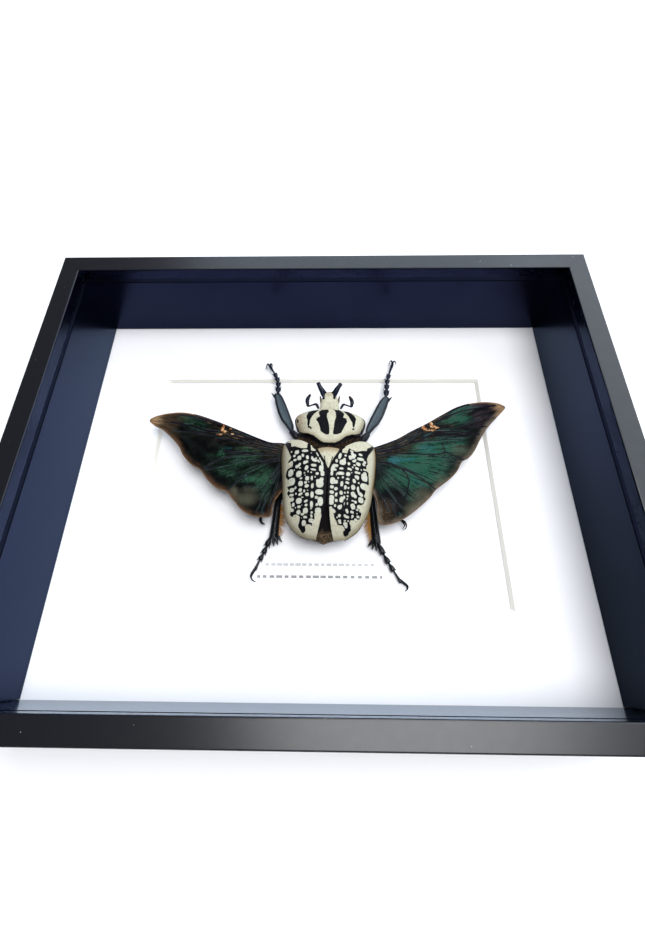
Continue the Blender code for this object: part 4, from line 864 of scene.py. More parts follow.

# Each wing's marks: veins (width, points), green, teal and dusky brown patches, and orange specks painted as
# glints
WINGS = {
    "left": dict(
        veins=[
         (0.75, [(-19.3, 16.4), (-24.6, 16.4), (-29.7, 17.8), (-34.9, 20.1), (-39.6, 22.7),
                (-44.3, 25), (-49.1, 27), (-54.5, 29.1), (-59.9, 31.4), (-64.7, 32.9)]),
         (0.35, [(-20.1, 15.2), (-25.6, 15.4), (-31.3, 16.8), (-37.1, 19.5), (-41.2, 21.5), (-44.7, 22.9)]),
         (0.60, [(-20.2, 13.1), (-26.7, 14.4), (-33.5, 16.2), (-38.1, 18.1), (-42.8, 20.6), (-46.2, 21.1)]),
         (0.40, [(-20.5, 12.2), (-27.7, 12.8), (-33.3, 14), (-38.5, 15.9), (-43.1, 17.7), (-48.3, 19),
                (-52.8, 19)]),
         (0.45, [(-52.5, 27.3), (-57.3, 28.9), (-62.7, 30.6), (-68, 31.9), (-73.3, 32.4)]),
         (0.80, [(-52, 22.8), (-56.6, 23.3), (-61.9, 24.7), (-66.7, 26.3), (-72, 27.6), (-76.7, 28.3)]),
         (0.50, [(-53, 20.9), (-58.7, 21.8), (-63.9, 22.8), (-69.7, 23.3), (-74.9, 24)]),
         (0.50, [(-20.4, 10.4), (-26.4, 10.2), (-33, 10.3), (-38.6, 11.4), (-44.1, 11.2), (-48.1, 11.8)]),
         (0.35, [(-29.7, 10.4), (-36.3, 9.7), (-41.8, 9.4), (-47.2, 8.5), (-51.4, 6.7), (-54.4, 4.6),
                (-56.4, 3.1)]),
         (0.40, [(-20.3, 8.6), (-25.6, 6.7), (-30.6, 6.7), (-37.2, 7.3), (-42.5, 5.8), (-47.8, 4),
                (-52.5, 2.5), (-56.9, 2.2)]),
         (0.50, [(-20.2, 7.1), (-24.6, 6.7), (-28.3, 4.9), (-32.4, 2.6), (-35.6, 1.1), (-38, -2.2),
                (-40.4, -5), (-42.6, -7.3), (-43.6, -8.5)]),
         (0.28, [(-20.1, 5), (-23.1, 0.2), (-25.5, -5), (-27.2, -10.7), (-28.7, -16.2), (-29.5, -19.5)]),
         (0.28, [(-20, 4.1), (-21.9, -2.1), (-23.7, -7.3), (-25.5, -12.3), (-26.5, -17.3), (-27.1, -20.6)]),
         (0.22, [(-20.2, 2.6), (-23.5, -2.1), (-26.9, -6.7), (-31.7, -7.3), (-36, -7)]),
         (0.30, [(-19.9, 1.4), (-20.7, -4.4), (-21.9, -10.6), (-23.2, -16.2), (-23.5, -20)]),
        ],
        green=[
         (-64.5, 27, 6.3, 2.6, -12, 0.90), (-70.8, 31.2, 6.9, 1.5, 0, 0.60),
         (-49.1, 11.2, 2.2, 2.8, 0, 0.90), (-42, 2, 15, 8, -30, 0.30),
         (-30, 3, 10, 10, 0, 0.25), (-66, 26, 12, 4, -14, 0.25), (-36.6, 13.1, 6.7, 1.6, -6, 0.90),
         (-36.2, 8.5, 7.2, 1.7, 8, 0.70), (-43.5, 4.9, 8.7, 1.8, 12, 0.50),
         (-33.6, -2.7, 4.8, 1.6, 8, 1.00), (-25.6, -2.7, 4.8, 5.3, -50, 0.90),
         (-46.3, 0.2, 4.9, 2.3, -20, 0.60), (-31.4, 2.6, 3.3, 1.4, 20, 0.60),
         (-26.1, -11.2, 5.8, 3.9, -50, 0.50), (-55, 9.1, 3.9, 2.4, 20, 0.35),
        ],
        teal=[
         (-45.8, 13.7, 2.5, 1.8, 0, 0.60), (-36.4, -1.6, 2.4, 1.3, 0, 0.60),
         (-26.8, -20, 1.0, 2.4, 0, 1.00), (-50.3, 11.5, 1.4, 1.6, 0, 0.50),
         (-23.2, -6.7, 1.6, 5.8, -20, 0.35),
        ],
        dusk=[
         (-35.5, -12.9, 6.9, 3.9, 0, 1.00), (-41.1, -9, 2.1, 2.8, 0, 0.90),
         (-33.2, -7.9, 4.7, 1.7, 0, 0.50),
        ],
        specks=[
         (-49.4, 26.2, 0.5, 0.9, 0, 1.00), (-45.7, 24.5, 0.7, 0.5, 0, 1.00),
         (-48.7, 23.1, 1.1, 0.7, 0, 1.00), (-50.8, 21.4, 1.4, 0.4, 0, 1.00),
         (-44.6, 21.5, 0.8, 0.5, 0, 1.00), (-50, 24.4, 0.8, 1.4, 0, 1.00),
        ]),
    "right": dict(
        veins=[
         (0.80, [(27, 14.4), (30.3, 15.1), (34.8, 17.1), (40, 20.5), (46.9, 24.3), (52.7, 27.3),
                (56.3, 29.2), (59.3, 31.3), (64.7, 34.3), (71.3, 37.3), (76, 39)]),
         (0.45, [(28, 13.1), (33, 13.8), (36.9, 15.6), (42.1, 18.7), (46.7, 21.6), (50.8, 23.8),
                (53.7, 25.7)]),
         (0.60, [(28, 11.6), (32.9, 12.2), (37.9, 13.8), (42.4, 15.6), (46.4, 17.2), (50.9, 18.7),
                (54.4, 20.9), (57.9, 22.8)]),
         (0.35, [(30.2, 12.5), (35.1, 13.1), (40.3, 16.2), (45.4, 18.7), (49, 21.9), (52.4, 22.8)]),
         (0.65, [(58.5, 28.6), (62, 30.5), (65, 32.1), (68.6, 33.6), (71.6, 34.8), (75.6, 35.8),
                (79.7, 36.5), (84.4, 37.4), (89.6, 38.4)]),
         (0.60, [(59.2, 24.4), (63.6, 24.6), (68.7, 24.8), (74.3, 25.4), (78.3, 25.7), (83.3, 26.1)]),
         (0.40, [(68.7, 25.1), (72.8, 26.7), (76.4, 28.6), (81.1, 30.6)]),
         (0.80, [(57.9, 23), (63.5, 23.2), (69.6, 22.9), (75, 22.2), (79.1, 21.5)]),
         (0.35, [(46.4, 17.2), (49.7, 17.8), (53.1, 18.1), (59.7, 18.3), (64.1, 18.6), (70.2, 18.9)]),
         (0.30, [(57.6, 20), (63.2, 20.5), (69.3, 20.3), (74.3, 20.5)]),
         (0.40, [(28.4, 9.8), (32.8, 10.2), (37.2, 10.6), (40.5, 10.9), (43.7, 10.7), (47, 10.6),
                (50.2, 10.1), (56.7, 10.6), (60, 10.8)]),
         (0.60, [(60.1, 11.9), (62.3, 11.6), (64.8, 9.9), (68.3, 7.8), (70.1, 7.3)]),
         (0.50, [(60.1, 16.9), (60.2, 15.3), (61, 13.8), (61.4, 12.3)]),
         (0.45, [(59.3, 9), (62.4, 8.1), (64.9, 6.6), (67.5, 5.7)]),
         (0.55, [(28, 6.2), (31, 5.9), (34.2, 5.2), (39.4, 2.7), (44.6, 0.3), (49.1, -2.8),
                (51.5, -5.1), (54.9, -8.2)]),
         (0.25, [(28.8, 6.5), (34.7, 5.8), (40, 3.6), (45.2, 1.2), (49.2, -1.4)]),
         (0.35, [(27.6, 4.1), (30.2, 1.8), (33.2, -2.3), (35.7, -5.7), (38.1, -9.1), (39.3, -11)]),
         (0.30, [(28.2, 5.3), (32.4, 1.8), (35.3, -2.9), (38.2, -7.4), (40.6, -10.8), (41.5, -13)]),
         (0.30, [(27.6, 2.9), (29, -0.6), (30.9, -5.7), (33.3, -10.2), (35.7, -14.1)]),
         (0.50, [(39.4, 2.4), (41.8, -0.5), (42.7, -3.4), (41.6, -7.4), (41.2, -9.6), (40.2, -12.4)]),
         (0.50, [(27.6, -9.7), (30.1, -12.5), (33.1, -14.1), (36.7, -15.5), (39.2, -16.8)]),
         (0.45, [(29, -12.5), (30.9, -16.3), (32.3, -19)]),
         (0.40, [(33.6, -14.7), (34.5, -17.9), (34.7, -21.1)]),
        ],
        green=[
         (50, 6, 22, 12, 18, 0.30), (71.7, 36.5, 9.7, 2.7, 10, 1.00), (68.8, 30.2, 8.4, 3.0, 8, 0.90),
         (65.8, 23.8, 8.3, 0.9, -2, 1.10), (54.9, 14.4, 8.2, 3.4, 4, 1.30),
         (66.9, 14.4, 6.0, 3.7, 8, 0.70), (50.8, 4.2, 11.7, 5.3, 6, 0.90),
         (54.4, -2.8, 5.8, 3.5, 20, 0.70), (37.5, -1.7, 6.4, 4.1, -35, 0.70),
         (44.7, -5.1, 4.7, 4.0, -30, 0.70), (42.4, 8, 8.7, 2.1, 4, 1.20), (66.4, 19.4, 6.6, 1.0, 0, 0.80),
         (31, -5.2, 3.7, 5.2, -50, 0.50), (43.6, -12.4, 3.6, 3.3, 0, 0.50),
        ],
        teal=[
         (35.9, 7.1, 2.7, 2.4, 0, 1.20), (40.8, 8, 7.0, 1.6, 3, 0.70), (52.7, 14.1, 4.9, 2.8, 0, 0.80),
         (37.4, -19.8, 1.3, 3.0, -8, 0.50), (46.4, -4, 4.2, 1.2, -35, 0.50),
         (71.9, 38.1, 8.0, 1.7, 6, 0.50), (53.3, 21.2, 3.4, 1.3, 20, 0.50),
         (58.4, 28.3, 3.4, 1.5, 20, 0.50),
        ],
        dusk=[
         (68.9, 12.6, 5.4, 3.7, 0, 0.80), (58.5, -3.3, 4.8, 3.4, 0, 0.80),
         (48.3, -11.8, 5.7, 5.0, 30, 1.00), (42.7, -17.9, 4.1, 3.3, 0, 1.00),
        ],
        specks=[
         (55.8, 27.5, 0.9, 0.9, 0, 1.00), (51.7, 25.4, 0.8, 1.4, 0, 1.00),
         (52.9, 24.4, 0.7, 0.7, 0, 1.00), (56.5, 26, 1.3, 0.9, 0, 1.00), (55.8, 23.8, 2.0, 0.5, 0, 1.00),
         (58.2, 25.3, 1.3, 0.5, 0, 1.00),
        ])}


# Legs: the fore shin's edges along and across it
FORE_SHIN_INNER = [(-1.4, -0.8), (2.3, -2.3), (5.0, -2.45), (10.4, -2.5), (16.0, -2.4), (21.6, -2.1),
                   (24.0, -1.4), (25.2, -0.4)]
FORE_SHIN_OUTER = [(-1.4, 0.4), (0.2, 0.9), (4.1, 1.8), (7.4, 2.9), (13.1, 3.3), (18.4, 2.95), (21.0, 2.6),
                   (23.6, 2.4), (25.2, 1.5)]

# Each pair of feet: the heights of its joints, its thickness between beads and at them, and a claw's
FOOT_SIZES = {
    "fore": dict(heights=(20.0, 19.6, 19.2, 18.8, 18.4, 18.0), thin=0.7, thick=1.45, claw=0.56),
    "mid": dict(heights=(17.6, 17.4, 17.2, 17.6), thin=0.5, thick=0.9, claw=0.6),
    "hind": dict(heights=(16.0, 15.6, 15.2, 14.8, 14.6), thin=0.7, thick=1.3, claw=0.6)}

# Each foot's joints, and the lines of its two claws
FEET = {
    "fore_foot_left": (
        [(-23.6, 49.4), (-23.7, 53.6), (-23.9, 56.8), (-24.8, 60.2), (-26.4, 63.5), (-29.7, 69.5)],
        [[(-29.3, 68.2, 17.95), (-30.5, 70.4, 17.9), (-31.3, 69.2, 17.6), (-31.5, 67.4, 17.2)],
         [(-29.1, 68.7, 18.2), (-28.9, 70.3, 18.25), (-28.2, 69.7, 18.2), (-28.1, 68.5, 17.6)]]),
    "fore_foot_right": (
        [(34.6, 46.9), (35.2, 51.6), (35.6, 55.3), (36.1, 58.8), (37.2, 62.8), (39.6, 70.0)],
        [[(39.2, 68.6, 18.1), (39.4, 72.4, 17.9), (38.3, 71.9, 17.6), (37.7, 70.6, 17.2)],
         [(39.3, 68.95, 18.25), (40.4, 71.8, 18.2), (41.3, 71.4, 18.2), (41.6, 70.0, 17.6)]]),
    "hind_foot_left": (
        [(-23.4, -28.9), (-25.2, -33.6), (-26.6, -36.8), (-28.2, -40.0), (-30.1, -44.4)],
        [[(-29.72, -43.35, 14.63), (-31.5, -47.0, 14.4), (-30.85, -48.8, 14.05), (-29.4, -49.5, 13.85)],
         [(-29.6, -43.0, 14.78), (-31.6, -46.4, 15.0), (-31.5, -48.0, 14.8), (-30.5, -49.2, 14.5)]]),
    "hind_foot_right": (
        [(27.3, -31.4), (30.0, -37.2), (32.2, -41.0), (34.4, -44.6), (37.4, -49.6)],
        [[(36.9, -48.7, 14.7), (39.7, -50.9, 14.4), (40.0, -52.4, 14.0), (39.0, -53.3, 13.8)],
         [(37.02, -48.35, 14.85), (39.4, -50.2, 15.0), (40.4, -51.4, 14.8), (40.0, -52.8, 14.5)]]),
    "mid_foot_left": (
        [(-27.6, -8.6), (-28.0, -11.6), (-28.3, -14.6), (-28.6, -19.6)],
        [[(-28.5, -18.8, 17.5), (-28.7, -21.6, 17.8), (-27.9, -22.8, 17.6), (-26.6, -23.3, 17.4)],
         [(-28.38, -18.45, 17.65), (-28.4, -21.2, 16.9), (-27.6, -22.2, 16.4), (-26.4, -22.8, 16.0)]]),
    "mid_foot_right": (
        [(36.2, -9.6), (36.6, -12.6), (37.0, -15.8), (38.0, -21.2)],
        [[(37.7, -20.2, 17.5), (40.6, -22.0, 17.8), (40.9, -24.4, 17.6), (39.4, -25.7, 17.4)],
         [(37.82, -19.85, 17.65), (39.8, -21.9, 16.9), (40.4, -23.2, 16.4), (39.4, -24.8, 16.0)]])}

# Along and across the hind shin: how far its fringe reaches, and its three spurs
HIND_FRINGE = [(4.0, 0.0), (5.0, 2.6), (8.0, 4.4), (12.0, 4.9), (16.0, 4.6), (20.0, 3.9), (21.4, 3.0)]
HIND_SPURS = [((21.6, 1.9), (24.2, 4.2)), ((22.8, 1.2), (25.6, 2.4)), ((23.2, 0.0), (26.4, 0.5))]


# Making the pieces

def dome(x, y, rim, crown, half, fullness, roundness):
    """The height of a domed shell at (x, y): its crown on the midline, its rim at half its width."""
    side = np.minimum(1.0, np.abs(x) / half(y))
    return rim + (crown(y) - rim) * (1 - side ** fullness) ** roundness


CASE_TOP = smooth_table(CASE_CROWN)
CASE_HALF = {side: smooth_table([(y, x) for x, y in outer] + [(16.0, 21.5)], spread=0.6)
             for side, outer in CASE_OUTER.items()}
SHIELD_TOP = smooth_table(SHIELD_CROWN, spread=0.8)
SHIELD_HALF = smooth_table(SHIELD_HALF_WIDTH, spread=0.8)


def case_height(x, y, side="right"):
    return dome(x, y, CASE_RIM_Z, CASE_TOP, CASE_HALF[side], 2.8, 0.55)


def shield_height(x, y):
    return dome(x, y, SHIELD_RIM_Z, SHIELD_TOP, SHIELD_HALF, 2.6, 0.6)


def case_marks(at, side, sign):
    """A wing case's black ink, how deep each point is in its net and how far from its outer edge."""
    net = inside(at, CASE_NET[side])
    ink = np.minimum(net, -in_ovals(at, CASE_CELLS[side])) + 0.16
    wide = np.interp(at[:, 1], [-34, -24, -14, -4, 0], [0.25, 0.5, 1.0, 1.2, 0.9])
    wide *= 1.15 if side == "left" else 0.85
    edge = from_line(at, placed([CASE_INNER[side][0]] + CASE_OUTER[side], sign))
    front = from_line(at, placed(SCUTELLUM_SIDE + [(7.2, 8.2)], sign))
    seam = from_line(at, placed(CASE_INNER[side], sign))
    return {"ink": np.maximum.reduce([ink, wide - seam, 0.1 - edge, 0.5 - front]), "net": net, "edge": edge}


def wing_case(side, sign, look):
    seam = CASE_INNER[side]
    inner = seam[:-1] + SCUTELLUM_SIDE
    lift = CASE_FRONT_LIFT[side]

    def on_case(u, v):
        x, y = patch(u, v, CASE_FRONT, [seam[0], CASE_OUTER[side][0]], inner, CASE_OUTER[side])
        return x, y + lift * u * max(0.0, 3 * v - 2), 0.0

    mesh = sheet_mesh(92, 192, on_case)
    spots = np.array([v.co for v in mesh.verts])
    for vert, height in zip(mesh.verts, case_height(spots[:, 0], spots[:, 1], side)):
        vert.co = (*body_place(sign * vert.co.x, vert.co.y), height)
    bmesh.ops.recalc_face_normals(mesh, faces=mesh.faces)
    mesh.faces.ensure_lookup_table()
    if mesh.faces[0].normal.z < 0:
        bmesh.ops.reverse_faces(mesh, faces=mesh.faces)
    made = piece(f"shell_case_{side}", mesh, look, "ivory_shell", f"wing_case_{side}")
    own_values(made, **case_marks(points_of(made)[:, :2], side, sign))
    wall = made.modifiers.new("shell wall", 'SOLIDIFY')
    wall.thickness = CASE_THICKNESS * MM
    wall.offset = -1.0


def scutellum(look):
    front = [(-4.9, 6.6), (-4.4, 7.4), (0, 7.9), (4.4, 7.4), (4.9, 6.6)]
    right = [(0.15, -2.9), (1.75, 0.6), (4.9, 6.6)]
    left = [(-x, y) for x, y in right]

    def on_top(u, v):
        x, y = patch(u, v, front, [left[0], right[0]], left, right)
        swell = 0.35 * (1 - (2 * u - 1) ** 2) * min(1.0, v * 3)
        return x, y, float(case_height(x, y)) - 0.45 + swell

    mesh = sheet_mesh(48, 56, on_top)
    onto_body(mesh)
    close_below(mesh, lambda spot: (spot.x, spot.y, 35.5))
    made = piece("small_shield", mesh, look, "ivory_shell", "scutellum")
    at = points_of(made)[:, :2]
    lines = [placed([(-5.1, 6.6), (-1.8, 0.6), (0, -3.4), (1.8, 0.6), (5.1, 6.6)]),
             [(2.2, 3.0), (2.45, 0.8), (2.9, -1.6)], [(5.9, 2.7), (5.4, 0.6), (4.75, -1.7)]]
    own_values(made, ink=np.maximum.reduce([FINE_LINE - from_line(at, line) for line in lines]), net=-1.0,
               edge=from_line(at, placed([(-5, 6.8), (0, 7.9), (5, 6.8)])))


def both_sides(half):
    """A whole edge from the half that starts on the midline."""
    return [(-x, y) for x, y in reversed(half[1:])] + half


def pronotum(look):
    front, rear = both_sides(SHIELD_FRONT), both_sides(SHIELD_REAR)
    left = [(-x, y) for x, y in SHIELD_SIDE]
    mesh = sheet_mesh(144, 96, lambda u, v: (*patch(u, v, front, rear, left, SHIELD_SIDE), 0.0))
    spots = np.array([v.co for v in mesh.verts])
    for vert, height in zip(mesh.verts, shield_height(spots[:, 0], spots[:, 1])):
        vert.co.z = height

    def below(spot):
        depth = min(1.0, max(0.0, (spot.y - KEEL_REAR) / 1.5))
        depth *= min(1.0, max(0.0, (KEEL_FRONT - spot.y) / 3.0))
        across = min(1.0, abs(spot.x) / KEEL_HALF_WIDTH)
        keel = KEEL_DEPTH * depth * (1 - across ** 0.9)
        thin = spot.z - SHIELD_EDGE
        return spot.x, spot.y, thin * (1 - depth) + min(thin, SHIELD_RIM_Z - 0.8 - keel) * depth

    close_below(mesh, below)
    bmesh.ops.rotate(mesh, matrix=Matrix.Rotation(-SHIELD_LEAN, 3, 'Z'), verts=mesh.verts,
                     cent=(0, SHIELD_MIDDLE_Y, 0))
    onto_body(mesh, lambda y: SHIELD_SHIFT)
    made = piece("shield", mesh, look, "ivory_shell", "pronotum")
    at = points_of(made)[:, :2]
    rim = left[::-1] + rear[1:-1] + SHIELD_SIDE
    edge = from_line(at, placed([(x + SHIELD_SHIFT, y) for x, y in rim]))
    marks = [inside(at, mark) + bold for bold, mark in SHIELD_MARKS]
    # A black outline along the rim, wider on the left: partly the shell's own thin dark edge, partly painted
    # shadow along the rear rim
    marks.append(np.where(at[:, 0] < 0, 0.6, 0.42) - edge)
    own_values(made, ink=np.maximum.reduce(marks), net=-1.0, edge=edge)


def neck(look, hair):
    """The downy brown skin in the gap between the shield and the wing cases."""
    shield_y = [(0, 10.6), (2.6, 10.7), (5.0, 11.8), (7.9, 14.2), (10.8, 15.9), (13.0, 16.9), (15.6, 19.2)]
    case_y = [(0, 7.2), (4.6, 6.4), (6.0, 6.8), (10.5, 10.6), (14.5, 13.0), (17.0, 13.6)]

    def on_neck(u, v):
        x = 15.4 * (2 * u - 1)
        front = np.interp(abs(x), *zip(*shield_y)) + 1.2
        rear = np.interp(abs(x), *zip(*case_y)) - 1.0
        high, low = float(shield_height(x, front)) - 1.2, float(case_height(x, rear)) - 1.3
        x, y = body_place(x + 0.3 * v, rear + (front - rear) * v)
        return x, y, low + (high - low) * v - 0.9 * math.sin(math.pi * v)

    mesh = sheet_mesh(60, 12, on_neck)
    close_below(mesh, lambda spot: (spot.x, spot.y, min(spot.z - 1.0, 27.0)))
    piece("neck_skin", mesh, look, "brown_shell")
    chance = random.Random(3)
    mesh = bmesh.new()
    for _ in range(NECK_HAIRS):
        u, v = chance.random(), chance.uniform(0.05, 0.65)
        root = Vector(on_neck(u, v))
        tip = root + Vector((chance.uniform(-0.7, 0.7), chance.uniform(-1.0, 0.5), chance.uniform(0.5, 1.1)))
        hair_at(mesh, root, tip, 0.07)
    for _ in range(TUFT_HAIRS):
        root = Vector((4.2 + chance.uniform(-0.5, 0.5), 8.3 + chance.uniform(-0.6, 0.5), 35.9))
        hair_at(mesh, root, root + Vector((chance.uniform(-0.3, 0.3), 0.8, 0.7)), 0.09)
    piece("neck_down", mesh, hair, "brown_shell")


def head(look, black, brown):
    mesh = bmesh.new()
    body_of(mesh, HEAD, square=3.0)
    onto_body(mesh)
    made = piece("head_shell", mesh, look, "ivory_shell", "head")
    at = points_of(made)[:, :2]
    roots = [from_line(at, [spot[:2] for spot in HORNS[side][:4]]) for side in SIDES]
    own_values(made, ink=0.6 - np.minimum(*roots), net=-1.0, edge=9.0)
    mesh = bmesh.new()
    for side, sign in SIDES.items():
        limb(mesh, HORNS[side], (0.3, 0.7, 1.15, 1.45, 1.35, 1.15, 1.05, 1.0), 40, 18)
        x, y, z = HORNS[side][3]
        web = [(x, y + 0.1, z - 0.1), (x - sign, y - 0.2, z - 0.3), (x - sign * 2.1, y - 0.35, z - 0.5)]
        limb(mesh, web, (1.5, 1.0, 0.25), 16, 12)
    piece("forked_horn", mesh, black, "black_shell")
    mesh = bmesh.new()
    for sign in SIDES.values():
        limb(mesh, placed(SPIKE, sign), (0.4, 0.6, 0.55, 0.2), 14, 10)
    piece("head_spikes", mesh, brown, "ivory_shell")


def trunk(look):
    mesh = bmesh.new()
    body_of(mesh, TRUNK, 56, 60)
    onto_body(mesh, lambda y: 0.045 * min(0.0, y))
    piece("underbody", mesh, look, "brown_shell", "trunk")


def wing(side, lead, trail, root, look):
    """A pleated membrane with raised veins and a strong leading edge."""
    columns, rows = 260, 130
    marks = WINGS[side]
    mesh = bmesh.new()
    bmesh.ops.create_grid(mesh, x_segments=columns, y_segments=rows, size=0.5)
    lead_at = [along(lead, i / columns) for i in range(columns + 1)]
    trail_at = [along(trail, i / columns) for i in range(columns + 1)]
    across = [(round((v.co.x + 0.5) * columns), v.co.y + 0.5) for v in mesh.verts]
    flat = np.array([trail_at[i] * (1 - v) + lead_at[i] * v for i, v in across])
    share = np.array([v for _, v in across])
    run = np.array([i / columns for i, _ in across])
    away = np.minimum(1.0, np.hypot(*(flat - np.array(root)).T) / 25.0)
    ridge = np.maximum.reduce([
        0.28 * min(1.0, wide / 0.5) * np.exp(-(from_line(flat, line) / (0.7 * wide + 0.25)) ** 2)
        for wide, line in marks["veins"]])
    pleat = np.cos(share * 7 * math.pi) * 0.35 * away * np.minimum(1.0, 4 * share * (1 - share) + 0.3)
    rise = 0.6 * np.maximum(0.0, 1 - (1 - share) * 12) * away * (1 - 0.7 * run)
    height = WING_Z + pleat * 0.7 + ridge * away + rise
    for vert, (x, y), z in zip(mesh.verts, flat, height):
        vert.co = (x, y, z)
    close_below(mesh, lambda spot: (spot.x, spot.y, min(spot.z, WING_Z + 0.6) - 0.3))
    made = piece(f"membrane_{side}", mesh, look, "wing_membrane", f"wing_{side}")
    at = points_of(made)[:, :2]
    own_values(made, vein=np.maximum.reduce([wide * 0.5 - from_line(at, line)
                                             for wide, line in marks["veins"]]),
               rim=from_line(at, [tuple(p) for p in trail_at[::3]]),
               costa=from_line(at, [tuple(p) for p in lead_at[::3]]),
               out=np.hypot(*(at - np.array(root)).T) / math.dist(lead[-1], root),
               turn=np.arctan2(at[:, 1] - root[1], np.abs(at[:, 0] - root[0])),
               speck=in_ovals(at, [row[:5] for row in marks["specks"]]),
               **{tone: patches(at, marks[tone]) for tone in ("green", "teal", "dusk")})


def laid_along(outline, base, tip, sign):
    """An outline given along and across a limb, laid on the line from its base to its tip."""
    ahead = (Vector(tip) - Vector(base)).normalized()
    aside = Vector((ahead.y, -ahead.x)) * sign
    return [tuple(Vector(base) + ahead * a + aside * b) for a, b in outline]


def fore_leg(side, thigh, knee, ankle, look):
    """The thigh, and the broad shin with its black rims and outer spine."""
    sign = SIDES[side]
    start, end = FORE_SHIN_INNER[0][0], FORE_SHIN_INNER[-1][0]
    inner, outer = smooth_table(FORE_SHIN_INNER, spread=0.7), smooth_table(FORE_SHIN_OUTER, spread=0.7)

    def on_shin(u, v):
        a = start + (end - start) * v
        b = float(inner(a)) * (1 - u) + float(outer(a)) * u
        full = (1 - (2 * u - 1) ** 4) ** 0.5 * min(1.0, (4 * v * (1 - v) * 5) ** 0.5)
        dish = 0.3 * math.exp(-((2 * u - 1) / 0.55) ** 2)
        (x, y), = laid_along([(a, b)], knee, ankle, sign)
        return x, y, FORE_LEG_Z + 0.95 * full * (1 - dish)

    mesh = sheet_mesh(22, 72, on_shin)
    close_below(mesh, lambda spot: (spot.x, spot.y, 2 * FORE_LEG_Z - spot.z))
    bmesh.ops.remove_doubles(mesh, verts=mesh.verts, dist=0.001)
    spine = laid_along([(22.0, 1.6), (24.6, 2.4), (26.2, 2.95)], knee, ankle, sign)
    limb(mesh, [(*spot, FORE_LEG_Z) for spot in spine], (0.9, 0.6, 0.12), 14, 10)
    lift = [(*thigh[0], FORE_LEG_Z - 0.6), (*thigh[1], FORE_LEG_Z), (*knee, FORE_LEG_Z)]
    limb(mesh, lift, (1.5, 2.0, 1.4))
    bmesh.ops.recalc_face_normals(mesh, faces=mesh.faces)
    made = piece(f"fore_shin_{side}", mesh, look, "black_shell", f"fore_leg_{side}")
    outline = laid_along(FORE_SHIN_INNER + FORE_SHIN_OUTER[::-1], knee, ankle, sign)
    own_values(made, rim=inside(points_of(made)[:, :2], outline))


def foot(name, size, joints, claws, look):
    """A jointed foot: beads that swell to two small thorns each, then two claws."""
    mesh = bmesh.new()
    joints = [Vector((*joint, z)) for joint, z in zip(joints, size["heights"])]
    thin, thick = size["thin"], size["thick"]
    for i, (a, b) in enumerate(zip(joints, joints[1:])):
        last = i == len(joints) - 2
        wide = thick * (1 - 0.06 * i) * (0.92 if last else 1.05)
        shape = (0.5 * thin, 0.55 * wide, 0.95 * wide, 1.05 * wide, 0.4 * wide)
        if last:
            shape = (0.6 * thin, 0.5 * wide, 0.6 * wide, 0.8 * wide, 0.7 * wide)
        limb(mesh, [a - (b - a) * 0.06, a.lerp(b, 0.5), b], shape, 20, 12)
        ahead = (b - a).normalized()
        aside = ahead.cross(UP).normalized()
        for sign in () if last else SIDES.values():
            start = a.lerp(b, 0.72) + aside * sign * wide * 0.6
            limb(mesh, [start, start + (ahead * 1.5 + aside * sign * 0.75) * wide * 0.75], (0.34, 0.07), 8, 6)
    for claw in claws:
        limb(mesh, claw, [size["claw"] * share for share in (1.0, 0.82, 0.58, 0.2)], 18, 10)
    piece(f"{name}_joints", mesh, look, "black_shell", name)


def mid_leg(side, hip, knee, ankle, look):
    mesh = bmesh.new()
    limb(mesh, [(*hip, MID_KNEE_Z - 1.0), (*knee, MID_KNEE_Z)], (1.9, 1.6))
    limb(mesh, [(*knee, MID_KNEE_Z), (*ankle, MID_KNEE_Z)], (1.2, 1.5))
    piece(f"mid_limb_{side}", mesh, look, "black_shell", f"mid_leg_{side}")


def hind_leg(side, hip, knee, ankle, look, gold):
    """The thigh, and the shin with its three spurs and its golden fringe."""
    sign = SIDES[side]
    mesh = bmesh.new()
    middle = tuple(Vector(knee).lerp(Vector(ankle), 0.5))
    limb(mesh, [(*hip, LEG_Z), (*knee, LEG_Z + 0.6)], (2.2, 1.9))
    limb(mesh, [(*knee, LEG_Z + 0.6), (*middle, LEG_Z + 0.2), (*ankle, LEG_Z)], (1.3, 1.8, 2.3))
    for spur in HIND_SPURS:
        base, tip = laid_along(spur, knee, ankle, sign)
        limb(mesh, [(*base, LEG_Z), (*tip, LEG_Z)], (0.9, 0.2), 12, 10)
    piece(f"hind_limb_{side}", mesh, look, "black_shell", f"hind_leg_{side}")
    chance = random.Random(7 if side == "left" else 8)
    mesh = bmesh.new()
    for _ in range(FRINGE_HAIRS):
        a = chance.uniform(3.0, 21.0)
        reach = float(np.interp(a, *zip(*HIND_FRINGE))) * chance.uniform(0.4, 1.2)
        root, tip = laid_along([(a - 0.8, 0.6), (a + chance.uniform(0.2, 1.8), reach)], knee, ankle, sign)
        z = LEG_Z + chance.uniform(-0.5, 0.5)
        hair_at(mesh, (*root, z), (*tip, z + chance.uniform(-0.2, 0.3)), 0.13)
    piece(f"hind_fringe_{side}", mesh, gold, "black_shell")


def antenna(side, sign, look):
    mesh = bmesh.new()
    limb(mesh, placed(STEM, sign), (0.5, 0.75, 0.45, 0.4, 0.5))
    limb(mesh, placed(CLUBS[side], sign), (0.5, 1.05, 1.0, 0.5))
    piece(f"feeler_{side}", mesh, look, "black_shell", f"antenna_{side}")


def node_look(look, *names):
    """Puts a finish on CAD nodes, which stay as they are."""
    for name in names:
        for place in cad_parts[name].material_slots:
            place.material = look.material


